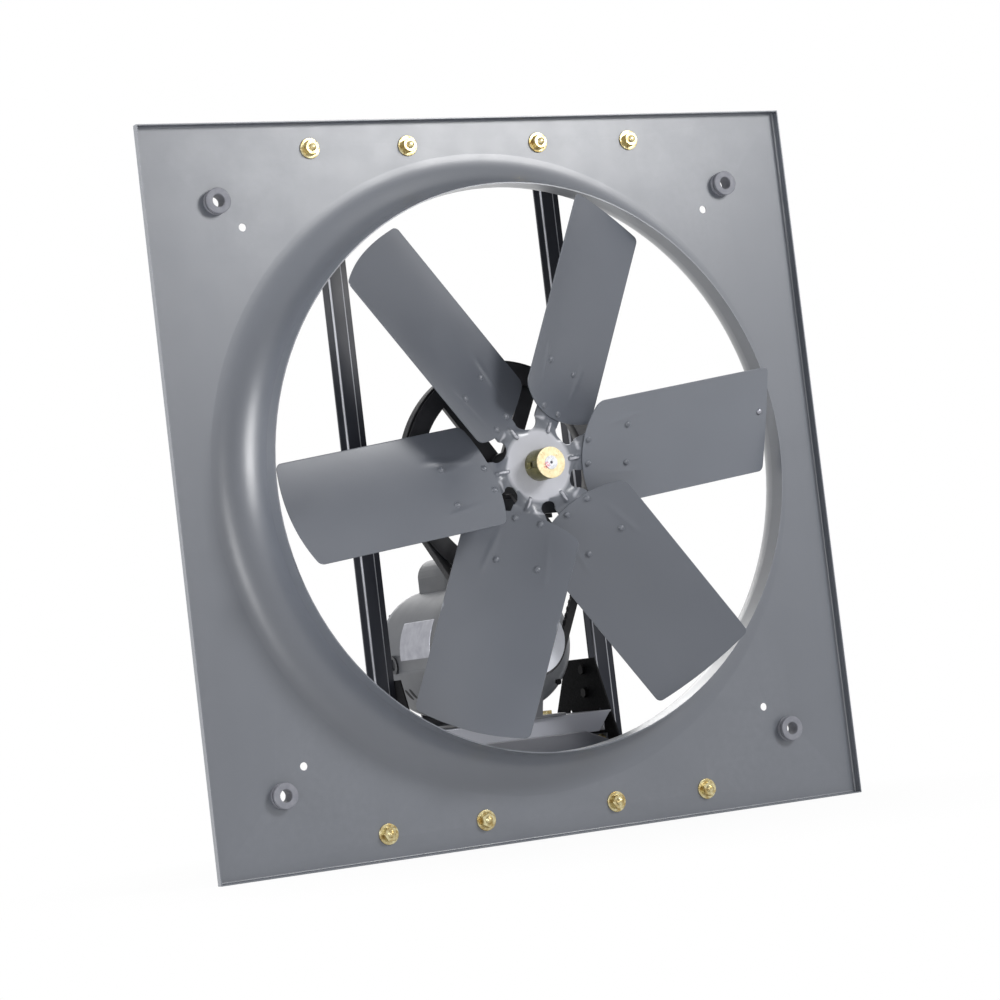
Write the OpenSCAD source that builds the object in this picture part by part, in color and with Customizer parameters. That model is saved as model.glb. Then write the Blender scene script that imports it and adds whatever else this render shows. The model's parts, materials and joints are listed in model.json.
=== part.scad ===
// Belt drive whole house fan on a square orifice panel.
// X is across the panel, Z is up it, and +Y points to the drive side behind it.
// The origin is the centre of the panel's front face, on the fan axis.

/* [Orifice panel] */
// Side of the square panel over its flanges
panel_side = 1016; // [960:1:1100]
// From the middle of the panel up to the orifice and the fan axis
orifice_rise = 5; // [0:0.5:8]
// Thickness of the panel sheet
panel_t = 1.6; // [1.2:0.1:2.5]
// Height of the edge flange in front of the panel face
flange_h = 12.7; // [8:0.1:20]
// Outer bend radius where the flange meets the panel
bend_r = 4; // [3:0.5:6]
// Outside radius of the orifice throat
throat_r = 396; // [390:0.5:400]
// Radius of the bell between the panel face and the throat
bell_r = 57; // [45:1:60]
// Straight length of the throat in front of the bell
throat_len = 26.4; // [10:0.1:40]
// Spacing of the four rubber isolators, both ways
isolator_spacing = 803.4; // [780:0.1:812]
// Spacing of the four small pilot holes, both ways
pilot_spacing = 732; // [720:0.1:745]
// Diameter of a pilot hole
pilot_d = 11; // [5:0.5:14]

/* [Isolators] */
// Diameter of an isolator's rings
isolator_d = 35.5; // [30:0.5:42]
// Diameter of the groove between the front rings
isolator_groove_d = 28; // [26:0.5:29.5]
// Diameter of the neck that sits in the panel
isolator_neck_d = 25; // [22:0.5:25.5]
// Bore of an isolator
isolator_bore_d = 17.4; // [10:0.1:18]
// Thickness of one ring
isolator_ring = 5; // [3:0.5:7]
// Width of the groove between the front rings
isolator_groove_w = 4; // [2:0.5:6]

/* [Drive frame] */
// Distance between the centre lines of the two struts
strut_spacing = 357; // [352:1:364]
// Overall width of a strut
strut_w = 40; // [36:1:46]
// Width of the raised crown along a strut's face
crown_w = 21; // [14:1:24]
// Height of that crown
crown_h = 3; // [2:0.5:5]
// Depth of a strut's ears behind its face
strut_depth = 30; // [26:1:36]
// Sheet thickness of struts, gussets, shelves and feet
frame_t = 3; // [2:0.1:3.5]
// From the back of the panel to the face of the struts
strut_standoff = 125.4; // [122:0.5:132]
// Length of a foot on the panel
foot_w = 190; // [180:1:200]
// Width of a foot on the panel
foot_flange = 46; // [40:1:50]
// Between the two bolts of one foot
foot_bolt_gap = 149.6; // [140:0.1:156]
// From the panel's edge to the nearer row of panel bolts
foot_row_inset = 36.4; // [32:0.1:40]

/* [Panel fasteners] */
// Diameter of the panel bolts
panel_bolt_d = 10.4; // [8:0.1:12]
// Diameter of their washers
washer_d = 29; // [24:0.5:32]
// Thickness of their washers
washer_t = 2; // [1:0.1:3]
// Size across the flats of their nuts and heads
nut_af = 18.6; // [16:0.1:20]
// Height of their nuts
nut_h = 8.5; // [6:0.1:10]
// How far a stud stands out of its nut
stud_proud = 3.6; // [1:0.1:6]

/* [Fan wheel] */
// Radius swept by the blade tips
tip_r = 382; // [372:0.5:386]
// Number of blades
blade_count = 6; // [5:1:6]
// Chord of a blade
blade_chord = 160; // [140:1:170]
// How far the middle of the chord lies behind the arm's middle line
chord_lead = 4; // [0:0.5:6]
// Rise of the camber over the chord
blade_sag = 9.5; // [5:0.5:12]
// Thickness of a blade
blade_t = 1.6; // [1.2:0.1:2.4]
// Pitch of the blades in degrees
blade_pitch = 27.5; // [22:0.5:30]
// Direction of the first blade in degrees
blade_start = 6.5; // [0:0.5:59]
// From the axis to the middle of a blade's root edge
root_r = 71; // [68:0.5:76]
// Radius of the curved root edge
root_arc_r = 162; // [150:1:200]
// Radius of the corners at the tip
tip_corner_r = 10; // [4:0.5:16]
// Radius of the corners at the root
root_corner_r = 12; // [6:0.5:16]
// The blades' chord line in front of the panel face
blade_plane = 90.4; // [88:0.1:92]
// Thickness of the spider
spider_t = 3; // [2:0.1:4]
// Radius of the spider's flat centre
spider_r = 53; // [50:0.5:56]
// Radius of the notches between its arms
notch_r = 11; // [6:0.5:13]
// From the axis to the middle of a notch
notch_u = 62; // [60:0.5:66]
// Radius of the raised rib on each arm
rib_r = 4; // [3:0.1:5]
// From the axis to the inner end of a rib
rib_start = 42; // [38:0.5:46]
// From the axis to the outer end of a rib
rib_end = 64; // [58:0.5:66]
// From the axis to the end of a spider arm
arm_end_r = 166; // [160:0.5:175]
// Width of a spider arm at its end
arm_end_w = 78; // [72:1:86]
// Width of a spider arm at the flat centre
arm_root_w = 40; // [36:1:44]
// Radius at which the inner rivets sit
rivet_inner_u = 80.4; // [80:0.1:86]
// Radius at which the outer rivets sit
rivet_outer_u = 143.6; // [135:0.1:150]
// Between the two inner rivets
rivet_inner_gap = 35.8; // [30:0.1:37]
// Between the two outer rivets
rivet_outer_gap = 57.8; // [48:0.1:60]
// Diameter of a rivet's shank
rivet_d = 5; // [4:0.1:6]
// Diameter of a rivet's head
rivet_head_d = 9.4; // [8:0.1:11]
// Height of a rivet's head
rivet_head_h = 3; // [2:0.1:4]
// From the tip circle to the balance rivet
balance_inset = 12; // [10:0.5:20]
// From the blade's centre line to the balance rivet
balance_offset = 5; // [0:0.5:12]

/* [Fan shaft and hub] */
// Diameter of the fan shaft
shaft_d = 19.05; // [17:0.05:20]
// Outside diameter of the hub bushing
bushing_d = 43.4; // [38:0.1:48]
// Length of the bushing in front of the spider
bushing_len = 36.5; // [30:0.5:38]
// Wall of the bushing's neck through the spider
bushing_neck = 6; // [4:0.5:8]
// Thickness of the bushing's collar behind the spider
bushing_collar = 6; // [3:0.5:8]
// How far the shaft stands out of the bushing
shaft_proud = 1; // [0.5:0.1:3]
// How far the shaft runs on behind the rear bearing
shaft_tail = 8; // [2:0.5:20]
// Diameter of the set screws
set_screw_d = 7.9; // [6:0.1:8]
// Centre of the front bearing behind the panel face
front_bearing_y = 96; // [95:0.5:100]
// Centre of the rear bearing behind the panel face
rear_bearing_y = 166; // [160:0.5:168]
// Height of the bearing centres over their shelf
bearing_height = 33.3; // [33:0.1:36]
// Length of a bearing housing's foot
housing_len = 127; // [124:1:134]
// Width of a bearing housing's foot
housing_w = 38; // [34:1:40]
// Height of a bearing housing's foot
housing_foot_h = 12; // [8:0.5:14]
// Between the two bolts of a housing
housing_bolt_gap = 95; // [90:1:100]
// Diameter of those bolts
housing_bolt_d = 10; // [8:0.5:11]
// Outside radius of a housing's round body
housing_r = 29; // [27:0.5:31]
// Width of a housing's round body
housing_body_w = 30; // [26:0.5:32]
// Diameter of a bearing's inner race
race_d = 30; // [27:0.1:32]
// Wall of the locking collar over the race
collar_wall = 1.5; // [1:0.1:3]
// Width of the locking collar
collar_w = 6; // [4:0.5:8]
// How far the bearing shelf reaches past the housings
shelf_margin = 5; // [3:0.5:10]
// Height of the bearing shelf's front and rear flanges
shelf_flange = 25; // [15:1:30]
// Height of the lugs that bolt it to the struts
shelf_lug = 50; // [40:1:60]

/* [Belt drive] */
// Pitch radius of the fan sheave
sheave_pitch_r = 157; // [150:0.5:160]
// Pitch radius of the motor pulley
pulley_pitch_r = 48.3; // [45:0.1:50]
// Middle of the belt behind the panel face
belt_y = 26; // [22:0.5:30]
// Top width of the belt
belt_w = 15.5; // [12.5:0.1:16]
// Thickness of the belt
belt_t = 10; // [8:0.1:11]
// Height of the belt's back over the pitch line
belt_rise = 3.8; // [3:0.1:5]
// Height of the belt's back over the rims
belt_proud = 3.5; // [1:0.1:5]
// Half of the groove's angle in degrees
groove_angle = 19; // [16:0.5:20]
// Free depth under the belt in the groove
groove_gap = 3; // [1:0.1:4]
// Width of both rims along the shaft
rim_w = 20; // [19:0.5:22]
// Inside radius of the fan sheave's rim
rim_inner_r = 131; // [120:0.5:138]
// Number of spokes in the fan sheave
spoke_count = 6; // [3:1:8]
// Direction of the first spoke in degrees
spoke_start = 5; // [0:1:59]
// Width of a spoke
spoke_w = 23; // [16:1:26]
// Thickness of a spoke
spoke_t = 8; // [6:0.5:12]
// Radius of the fan sheave's hub
sheave_hub_r = 30; // [26:0.5:34]
// Reach of that hub in front of the belt's middle
sheave_hub_lead = 16; // [12:0.5:20]
// Reach of that hub behind the belt's middle
sheave_hub_tail = 26; // [20:0.5:30]
// Radius of the motor pulley's hub
pulley_hub_r = 21; // [16:0.5:24]
// Length of that hub behind the rim
pulley_hub_len = 12; // [9:0.5:14]

/* [Motor] */
// Motor axis to the side of the fan axis
motor_x = 13; // [8:0.5:20]
// Motor axis below the fan axis
motor_drop = 238; // [236:0.5:242]
// Outside radius of the motor shell
motor_r = 95; // [92:0.5:96]
// Wall of the motor shell
motor_wall = 2.5; // [2:0.1:4]
// Front edge of the shell behind the panel face
motor_front = 96; // [94:0.5:100]
// Length of the motor shell
motor_len = 224; // [214:1:230]
// Diameter of the motor shaft
motor_shaft_d = 15.88; // [12:0.01:17]
// Depth of an end bell over the shell's edge
bell_depth = 20; // [16:0.5:22]
// Wall of an end bell
bell_wall = 4; // [3:0.5:5]
// Radius of the hubs on the end bells
bell_hub_r = 24; // [22:0.5:26]
// Length of those hubs
bell_hub_len = 24; // [20:0.5:26]
// How far an end bell reaches into the shell
spigot_len = 4; // [2:0.5:8]
// Outside diameter of the motor's ball bearings
bearing_od = 35; // [30:0.5:37]
// Width of those bearings
bearing_w = 11; // [9:0.5:12]
// Diameter of the through bolts
through_d = 5; // [4:0.1:6]
// Length of the stator and rotor cores
core_len = 66; // [56:1:80]
// Radius of the rotor core
rotor_r = 50; // [44:0.5:52]
// Gap between the rotor and the stator
air_gap = 0.5; // [0.3:0.1:1]
// Length of the windings past each end of the core
coil_len = 22; // [15:1:26]
// Radial thickness of the windings
coil_w = 18; // [12:0.5:20]
// Width of the capacitor cover
cap_w = 54; // [50:1:60]
// Height of the capacitor cover over the shell
cap_h = 44.5; // [42:0.5:50]
// Length of the capacitor cover
cap_len = 112; // [104:1:125]
// Wall of the capacitor cover
cap_wall = 1.5; // [1:0.1:2]
// Gap between the cover and the shell's rear edge
cap_inset = 11; // [8:0.5:16]
// Radius of the capacitor
capacitor_r = 20; // [15:0.5:21]
// Radius of the conduit plug
plug_r = 11; // [9:0.5:12]
// From the shell's rear edge to the conduit plug
plug_inset = 37; // [30:0.5:44]
// Direction of the conduit plug in degrees
plug_angle = 186; // [180:1:192]
// Length of the data plate
plate_len = 100; // [80:1:110]
// Height of the data plate
plate_h = 56; // [40:1:60]
// Thickness of the data plate
plate_t = 0.6; // [0.4:0.1:1]

/* [Motor mount] */
// Height of the motor axis over the base's top plate
cradle_height = 110; // [107:1:114]
// Width of the cradle's foot
cradle_w = 120; // [110:1:130]
// Width of an upright where it meets the cradle's foot
upright_foot_w = 44; // [36:1:56]
// Thickness of the cradle
cradle_t = 4; // [3:0.5:5]
// Radial thickness of the rubber mounting rings
ring_wall = 8; // [5:0.5:9]
// Length of a rubber ring
ring_len = 14; // [12:0.5:16]
// Size of the lips at a rubber ring's ends
ring_lip = 3; // [2:0.5:4]
// From a cradle upright to the bolts behind it
cradle_bolt_inset = 32; // [26:1:40]
// Height of the gussets over the base's top plate
gusset_over = 77; // [72:1:84]
// Height of the gussets below the base's top plate
gusset_under = 53; // [51:1:58]
// How far a gusset's top edge starts before the strut
gusset_lead = 17; // [12:1:22]
// Width of a gusset's top edge
gusset_top_w = 87; // [80:1:95]
// How far a gusset's foot spreads to the front
gusset_spread_front = 53; // [48:1:58]
// How far a gusset's foot spreads to the back
gusset_spread_back = 73; // [68:1:80]
// Front edge of the motor base behind the panel face
base_front = 70; // [66:0.5:74]
// Depth of the motor base
base_depth = 270; // [262:1:278]
// Height of the motor base's front flange
base_h = 29; // [26:0.5:30]
// How far that flange's ends are cut back at the bottom
base_bevel = 23; // [15:1:30]
// Height of the lower shelf's front flange
shelf_lip = 27; // [22:0.5:28]
// Length of the cut at each end of that flange
shelf_bevel = 55; // [40:1:70]
// Height of the lower shelf's other flanges
shelf_edge = 20; // [19:0.5:24]
// From the gussets' rear corner to the lower shelf's rear flange
shelf_rear_inset = 5; // [3:0.5:10]
// Travel of the motor base on its slots, for the belt tension
tension_travel = 15; // [8:0.5:16]
// Diameter of the frame bolts
frame_bolt_d = 8; // [6:0.1:8.5]

/* [Hidden] */
$fn = 64;
// Facets of the large curves
fine_fn = 180;
// Overrun that lets a cut pass through a face
cut = 1;
// Gap between pieces that move on each other
play = 0.3;
// Radial clearance of a shaft in a running bore
running = 0.05;
// Gap between fitted pieces that don't move on each other
seat = 0.05;

// Finish colours
paint_grey = "#8f939b";
blade_grey = "#666b73";
frame_black = "#3a3c44";
sheave_black = "#222226";
zinc_yellow = "#c9a24a";
rubber_grey = "#8a8b92";
motor_grey = "#808285";
coil_brown = "#9a5a32";
plastic_black = "#2b2d31";
steel = "#b9bbc0";

// Heads and nuts, as shares of their bolt's diameter
head_af_share = 1.6;
head_h_share = 0.65;
nut_h_share = 0.8;
// Between the upper and the lower row of panel bolts
foot_row_span = panel_side - 2 * foot_row_inset;
// Places along Y
strut_face = panel_t + strut_standoff;
strut_back = strut_face + strut_depth;
blade_radius = (pow(blade_chord / 2, 2) + pow(blade_sag, 2)) / (2 * blade_sag);
spider_front = -blade_plane + (blade_sag + blade_t) * cos(blade_pitch);
spider_back = spider_front + spider_t;
bushing_front = spider_front - bushing_len;
bushing_back = spider_back + bushing_collar;
hub_screw_y = bushing_front + bushing_len / 2;
shaft_front = bushing_front - shaft_proud;
shaft_back = rear_bearing_y + housing_w / 2 + shaft_tail;
// Inner face of the struts, where gussets and shelves are bolted
bay_half = strut_spacing / 2 - strut_w / 2;
// Motor axis, the middle of its length and the front ends of its hubs
motor_z = orifice_rise - motor_drop;
motor_mid = motor_front + motor_len / 2;
motor_end = motor_front + motor_len;
hub_front = motor_front - bell_depth - bell_hub_len;
// Belt loop between the two wheels
centre_gap = norm([motor_x, motor_drop]);
belt_lean = atan2(-motor_drop, motor_x);
wrap_half = acos((sheave_pitch_r - pulley_pitch_r) / centre_gap);
run_len = centre_gap * sin(wrap_half);

// A 2D shape in X and Z carried along Y from y0
module along_y(y0, len) {
    translate([0, y0 + len, 0])
        rotate([90, 0, 0])
            linear_extrude(len) children();
}
// A 2D shape in Y and Z carried along X from x0
module along_x(x0, len) {
    translate([x0, 0, 0])
        rotate([90, 0, 90])
            linear_extrude(len) children();
}
// A profile of radius and Y turned about the Y axis
module turned() {
    rotate([-90, 0, 0])
        rotate_extrude($fn = fine_fn / 2) children();
}
// A rod along Y
module rod_y(r, y0, y1) {
    translate([0, y0, 0])
        rotate([-90, 0, 0])
            cylinder(r = r, h = y1 - y0);
}
// A rod along X
module rod_x(r, x0, x1) {
    translate([x0, 0, 0])
        rotate([0, 90, 0])
            cylinder(r = r, h = x1 - x0);
}
// A hexagon prism along Y
module hex_y(af, y0, len) {
    translate([0, y0, 0])
        rotate([-90, 0, 0])
            cylinder(d = af / cos(30), h = len, $fn = 6);
}
// A hexagon prism along Z
module hex_z(af, z0, len) {
    translate([0, 0, z0])
        cylinder(d = af / cos(30), h = len, $fn = 6);
}
// Turns a child to a direction in degrees, counted from +X towards +Z
module turn_to(angle) {
    rotate([0, -angle, 0]) children();
}
// A bolt along X through sheets from x0 to x1: its head inside, its nut outside
module frame_bolt_x(x0, x1, side) {
    af = frame_bolt_d * head_af_share;
    mirror([side < 0 ? 1 : 0, 0, 0]) {
        rod_x(frame_bolt_d / 2, x0 - seat, x1 + frame_bolt_d);
        translate([x0 - seat, 0, 0])
            rotate([0, -90, 0])
                hex_z(af, 0, frame_bolt_d * head_h_share);
        translate([x1 + seat, 0, 0])
            rotate([0, 90, 0])
                hex_z(af, 0, frame_bolt_d * nut_h_share);
    }
}
// A bolt hanging down through sheets: its head on top, its nut below
module bolt_z(d, top, bottom) {
    af = d * head_af_share;
    translate([0, 0, bottom - d])
        cylinder(d = d, h = top - bottom + d + seat);
    hex_z(af, top + seat, d * head_h_share);
    hex_z(af, bottom - seat - d * nut_h_share, d * nut_h_share);
}
// A headless screw along X with a hexagon socket in its outer end
module socket_screw(d, x0, x1) {
    difference() {
        rod_x(d / 2, x0, x1);
        translate([x1 - d / 2, 0, 0])
            rotate([0, 90, 0])
                cylinder(d = d / 2, h = d, $fn = 6);
    }
}
// Holes along X at [y, z] places
module holes_x(d, x0, x1, places) {
    for (p = places)
        translate([0, p[0], p[1]])
            rod_x(d / 2 + seat, x0 - cut, x1 + cut);
}
// The frame bolts at [y, z] places on both sides
module bolts_x(x0, x1, places) {
    color(zinc_yellow)
        for (side = [-1, 1], p = places)
            translate([0, p[0], p[1]])
                frame_bolt_x(x0, x1, side);
}
// Carries a child from the middle of the panel up to the fan axis
module on_axis() {
    translate([0, 0, orifice_rise]) children();
}
// Four places at the corners of a square
module at_corners(spacing) {
    for (sx = [-1, 1], sz = [-1, 1])
        translate([sx * spacing / 2, 0, sz * spacing / 2]) children();
}
// The eight panel bolts
module at_panel_bolts() {
    for (sx = [-1, 1], end = [-1, 1], sz = [-1, 1])
        translate([sx * strut_spacing / 2 + end * foot_bolt_gap / 2, 0, sz * foot_row_span / 2]) children();
}

// Panel: a shallow tray with the orifice drawn out of its face
panel_half = panel_side / 2;
inner_bend_r = bend_r - panel_t;
bell_start = throat_r + bell_r;
// How far the bell's sheet laps into the flat panel, so that they are one piece
bell_lap = 3;
module orifice_panel() {
    color(paint_grey) difference() {
        union() {
            panel_tray();
            on_axis() turned() bell_profile();
        }
        at_corners(isolator_spacing) rod_y(isolator_neck_d / 2, -cut, panel_t + cut);
        at_corners(pilot_spacing) rod_y(pilot_d / 2, -cut, panel_t + cut);
        at_panel_bolts() rod_y(panel_bolt_d / 2 + seat, -cut, panel_t + cut);
    }
}
module panel_tray() {
    inner = panel_side - 2 * panel_t;
    difference() {
        translate([-panel_half, -flange_h, -panel_half])
            cube([panel_side, flange_h + panel_t, panel_side]);
        translate([-inner / 2, -flange_h - cut, -inner / 2])
            cube([inner, flange_h + cut, inner]);
        for (turn = [0:90:270])
            rotate([0, turn, 0])
                translate([-panel_half, panel_t, -panel_half - cut])
                    linear_extrude(panel_side + 2 * cut) bend_corner(bend_r, cut);
        on_axis() rod_y(bell_start, -cut, panel_t + cut);
    }
    for (turn = [0:90:270])
        rotate([0, turn, 0])
            translate([-inner / 2, 0, -inner / 2])
                linear_extrude(inner) bend_corner(inner_bend_r, seat);
}
// The corner that is left between a square and the circle inside it
module bend_corner(r, over) {
    difference() {
        translate([-over, -r]) square([r + over, r + over]);
        translate([r, -r]) circle(r = r);
    }
}
module bell_profile() {
    translate([bell_start, -bell_r])
        intersection() {
            difference() {
                circle(r = bell_r + panel_t);
                circle(r = bell_r);
            }
            translate([-bell_r - panel_t, 0]) square(bell_r + panel_t);
        }
    translate([bell_start, 0]) square([bell_lap, panel_t]);
    translate([throat_r - panel_t, -bell_r - throat_len]) square([panel_t, throat_len]);
}

// Rubber isolators: two rings with a groove in front, a neck and a back ring
isolator_front = -2 * isolator_ring - isolator_groove_w;
isolator_back = panel_t + 2 * isolator_ring;
module panel_isolators() {
    color(rubber_grey) at_corners(isolator_spacing) difference() {
        union() {
            rod_y(isolator_d / 2, isolator_front, isolator_front + isolator_ring);
            rod_y(isolator_groove_d / 2, isolator_front, 0);
            rod_y(isolator_d / 2, -isolator_ring, 0);
            rod_y(isolator_neck_d / 2, 0, panel_t);
            rod_y(isolator_d / 2, panel_t, isolator_back);
        }
        rod_y(isolator_bore_d / 2, isolator_front - cut, isolator_back + cut);
    }
}

// Struts: a strap with a raised crown along it, and ears on its inner edge for gusset and shelf
strut_end = foot_row_span / 2 - foot_flange / 2;
strut_bolt_share = 0.55;
shelf_bolt_shares = [0.35, 0.8];
gusset_bolt_shares = [0.12, 0.38];
base_z = motor_z - cradle_height;
gusset_top = base_z + gusset_over;
gusset_bottom = base_z - gusset_under;
shelf_top = orifice_rise - bearing_height;
strut_bolt_y = strut_face + strut_depth * strut_bolt_share;
shelf_places = [for (k = shelf_bolt_shares) [strut_bolt_y, shelf_top - shelf_lug * k]];
gusset_fall = gusset_top - gusset_bottom;
gusset_places = [for (k = gusset_bolt_shares) [strut_bolt_y, gusset_top - gusset_fall * k]];
module strut_section() {
    crown_face = strut_face - crown_h;
    difference() {
        union() {
            translate([-strut_w / 2, strut_face]) square([strut_w, frame_t]);
            translate([-crown_w / 2, crown_face]) square([crown_w, crown_h + frame_t]);
        }
        translate([frame_t - crown_w / 2, crown_face + frame_t])
            square([crown_w - 2 * frame_t, crown_h + cut]);
    }
}
module strut(side) {
    color(frame_black) mirror([side < 0 ? 1 : 0, 0, 0]) difference() {
        union() {
            translate([strut_spacing / 2, 0, -strut_end])
                linear_extrude(2 * strut_end) strut_section();
            for (ear = [[gusset_bottom, gusset_top], [shelf_top - shelf_lug, shelf_top]])
                translate([bay_half, strut_face, ear[0]])
                    cube([frame_t, strut_depth, ear[1] - ear[0]]);
        }
        holes_x(frame_bolt_d, bay_half, bay_half + frame_t, shelf_places);
        holes_x(frame_bolt_d, bay_half, bay_half + frame_t, gusset_places);
    }
}
module left_strut() {
    strut(-1);
}
module right_strut() {
    strut(1);
}

// Feet: a flange bolted to the panel and a web that reaches back to the strut
foot_neck_share = 0.45;
module foot(side, up) {
    neck_y = panel_t + strut_standoff * foot_neck_share;
    translate([side * strut_spacing / 2, 0, 0]) mirror([0, 0, up < 0 ? 1 : 0]) difference() {
        union() {
            translate([-foot_w / 2, panel_t, strut_end])
                cube([foot_w, frame_t, foot_flange]);
            translate([0, 0, strut_end])
                linear_extrude(frame_t) polygon([
                    [-foot_w / 2, panel_t], [foot_w / 2, panel_t], [strut_w / 2, neck_y],
                    [strut_w / 2, strut_back], [-strut_w / 2, strut_back], [-strut_w / 2, neck_y]]);
        }
        for (end = [-1, 1])
            translate([end * foot_bolt_gap / 2, 0, foot_row_span / 2])
                rod_y(panel_bolt_d / 2 + seat, panel_t - cut, panel_t + frame_t + cut);
    }
}
module upper_feet() {
    color(frame_black) for (side = [-1, 1]) foot(side, 1);
}
module lower_feet() {
    color(frame_black) for (side = [-1, 1]) foot(side, -1);
}

// Panel bolts come through from behind, with a washer and a nut in front
nut_front = -washer_t - nut_h;
foot_back = panel_t + frame_t;
module panel_bolts() {
    color(zinc_yellow) at_panel_bolts() {
        rod_y(panel_bolt_d / 2, nut_front - stud_proud, foot_back + seat);
        hex_y(nut_af, foot_back + seat, panel_bolt_d * head_h_share);
    }
}
module panel_washers() {
    color(zinc_yellow) at_panel_bolts() difference() {
        rod_y(washer_d / 2, -washer_t, 0);
        rod_y(panel_bolt_d / 2 + seat, -washer_t - cut, cut);
    }
}
module panel_nuts() {
    color(zinc_yellow) at_panel_bolts() difference() {
        hex_y(nut_af, nut_front, nut_h);
        rod_y(panel_bolt_d / 2 + seat, nut_front - cut, cut);
    }
}

// Bearing shelf: a channel between the struts with lugs bolted to their sides
shelf_front = front_bearing_y - housing_w / 2 - shelf_margin;
shelf_back = rear_bearing_y + housing_w / 2 + shelf_margin;
module bearing_shelf() {
    depth = shelf_back - shelf_front;
    color(frame_black) difference() {
        union() {
            translate([-bay_half, shelf_front, shelf_top - frame_t])
                cube([2 * bay_half, depth, frame_t]);
            for (y = [shelf_front, shelf_back - frame_t])
                translate([-bay_half, y, shelf_top - shelf_flange])
                    cube([2 * bay_half, frame_t, shelf_flange]);
            for (x = [-bay_half, bay_half - frame_t])
                translate([x, strut_face, shelf_top - shelf_lug])
                    cube([frame_t, strut_depth, shelf_lug]);
        }
        for (m = [0, 1])
            mirror([m, 0, 0]) holes_x(frame_bolt_d, bay_half - frame_t, bay_half, shelf_places);
        at_housing_bolts()
            translate([0, 0, shelf_top - frame_t - cut])
                cylinder(d = housing_bolt_d + 2 * seat, h = frame_t + 2 * cut);
    }
}
module bearing_shelf_bolts() {
    bolts_x(bay_half - frame_t, bay_half + frame_t, shelf_places);
}

// Bearing housings: a foot and a round body over the race
module at_housing_bolts() {
    for (y = [front_bearing_y, rear_bearing_y], side = [-1, 1])
        translate([side * housing_bolt_gap / 2, y, 0]) children();
}
module housing(y) {
    half_w = housing_body_w / 2;
    color(frame_black) difference() {
        union() {
            translate([-housing_len / 2, y - housing_w / 2, shelf_top])
                cube([housing_len, housing_w, housing_foot_h]);
            translate([-housing_r, y - half_w, shelf_top])
                cube([2 * housing_r, housing_body_w, bearing_height]);
            on_axis() rod_y(housing_r, y - half_w, y + half_w);
        }
        on_axis() rod_y(race_d / 2 + running, y - housing_w, y + housing_w);
        at_housing_bolts()
            translate([0, 0, shelf_top - cut])
                cylinder(d = housing_bolt_d + 2 * seat, h = housing_foot_h + 2 * cut);
    }
}
module front_bearing_housing() {
    housing(front_bearing_y);
}
module rear_bearing_housing() {
    housing(rear_bearing_y);
}
module bearing_housing_bolts() {
    color(zinc_yellow) at_housing_bolts()
        bolt_z(housing_bolt_d, shelf_top + housing_foot_h, shelf_top - frame_t);
}
// Inner races with a locking collar on the outer side, turning with the shaft
module race(y, side) {
    reach = housing_body_w / 2 + play;
    color(steel) on_axis() difference() {
        union() {
            rod_y(race_d / 2, y - reach, y + reach);
            translate([0, y, 0])
                mirror([0, side < 0 ? 1 : 0, 0])
                    rod_y(race_d / 2 + collar_wall, reach, reach + collar_w);
        }
        rod_y(shaft_d / 2, y - housing_w, y + housing_w);
    }
}
module front_bearing_race() {
    race(front_bearing_y, -1);
}
module rear_bearing_race() {
    race(rear_bearing_y, 1);
}

// Gussets: trapezoid plates on the inner sides of the struts
gusset_front = strut_face - gusset_lead;
gusset_back = gusset_front + gusset_top_w;
foot_front = gusset_front - gusset_spread_front;
foot_len = gusset_spread_front + gusset_top_w + gusset_spread_back;
clamp_shares = [0.25, 0.66];
tray_bolt_shares = [0.22, 0.7];
clamp_drop_share = 0.55;
clamp_z = base_z - base_h * clamp_drop_share;
clamp_places = [for (k = clamp_shares) [foot_front + foot_len * k, clamp_z]];
tray_floor = gusset_bottom + frame_t;
tray_bolt_z = gusset_bottom + (shelf_edge + frame_t) / 2;
tray_places = [for (k = tray_bolt_shares) [foot_front + foot_len * k, tray_bolt_z]];
module gusset(side) {
    color(frame_black) mirror([side < 0 ? 1 : 0, 0, 0]) difference() {
        along_x(bay_half - frame_t, frame_t) polygon([
            [gusset_front, gusset_top], [gusset_back, gusset_top],
            [foot_front + foot_len, gusset_bottom], [foot_front, gusset_bottom]]);
        holes_x(frame_bolt_d, bay_half - frame_t, bay_half, gusset_places);
        holes_x(frame_bolt_d, bay_half - frame_t, bay_half, tray_places);
        for (p = clamp_places) translate([0, p[0], p[1]]) clamp_slot();
    }
}
// A slot along Z that lets the clamp bolts travel
module clamp_slot() {
    r = frame_bolt_d / 2 + play;
    for (dz = [-play, tension_travel + play])
        translate([0, 0, dz]) rod_x(r, bay_half - frame_t - cut, bay_half + cut);
    translate([bay_half - frame_t - cut, -r, -play])
        cube([frame_t + 2 * cut, 2 * r, tension_travel + 2 * play]);
}
module left_gusset() {
    gusset(-1);
}
module right_gusset() {
    gusset(1);
}
module gusset_bolts() {
    bolts_x(bay_half - frame_t, bay_half + frame_t, gusset_places);
}

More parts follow.
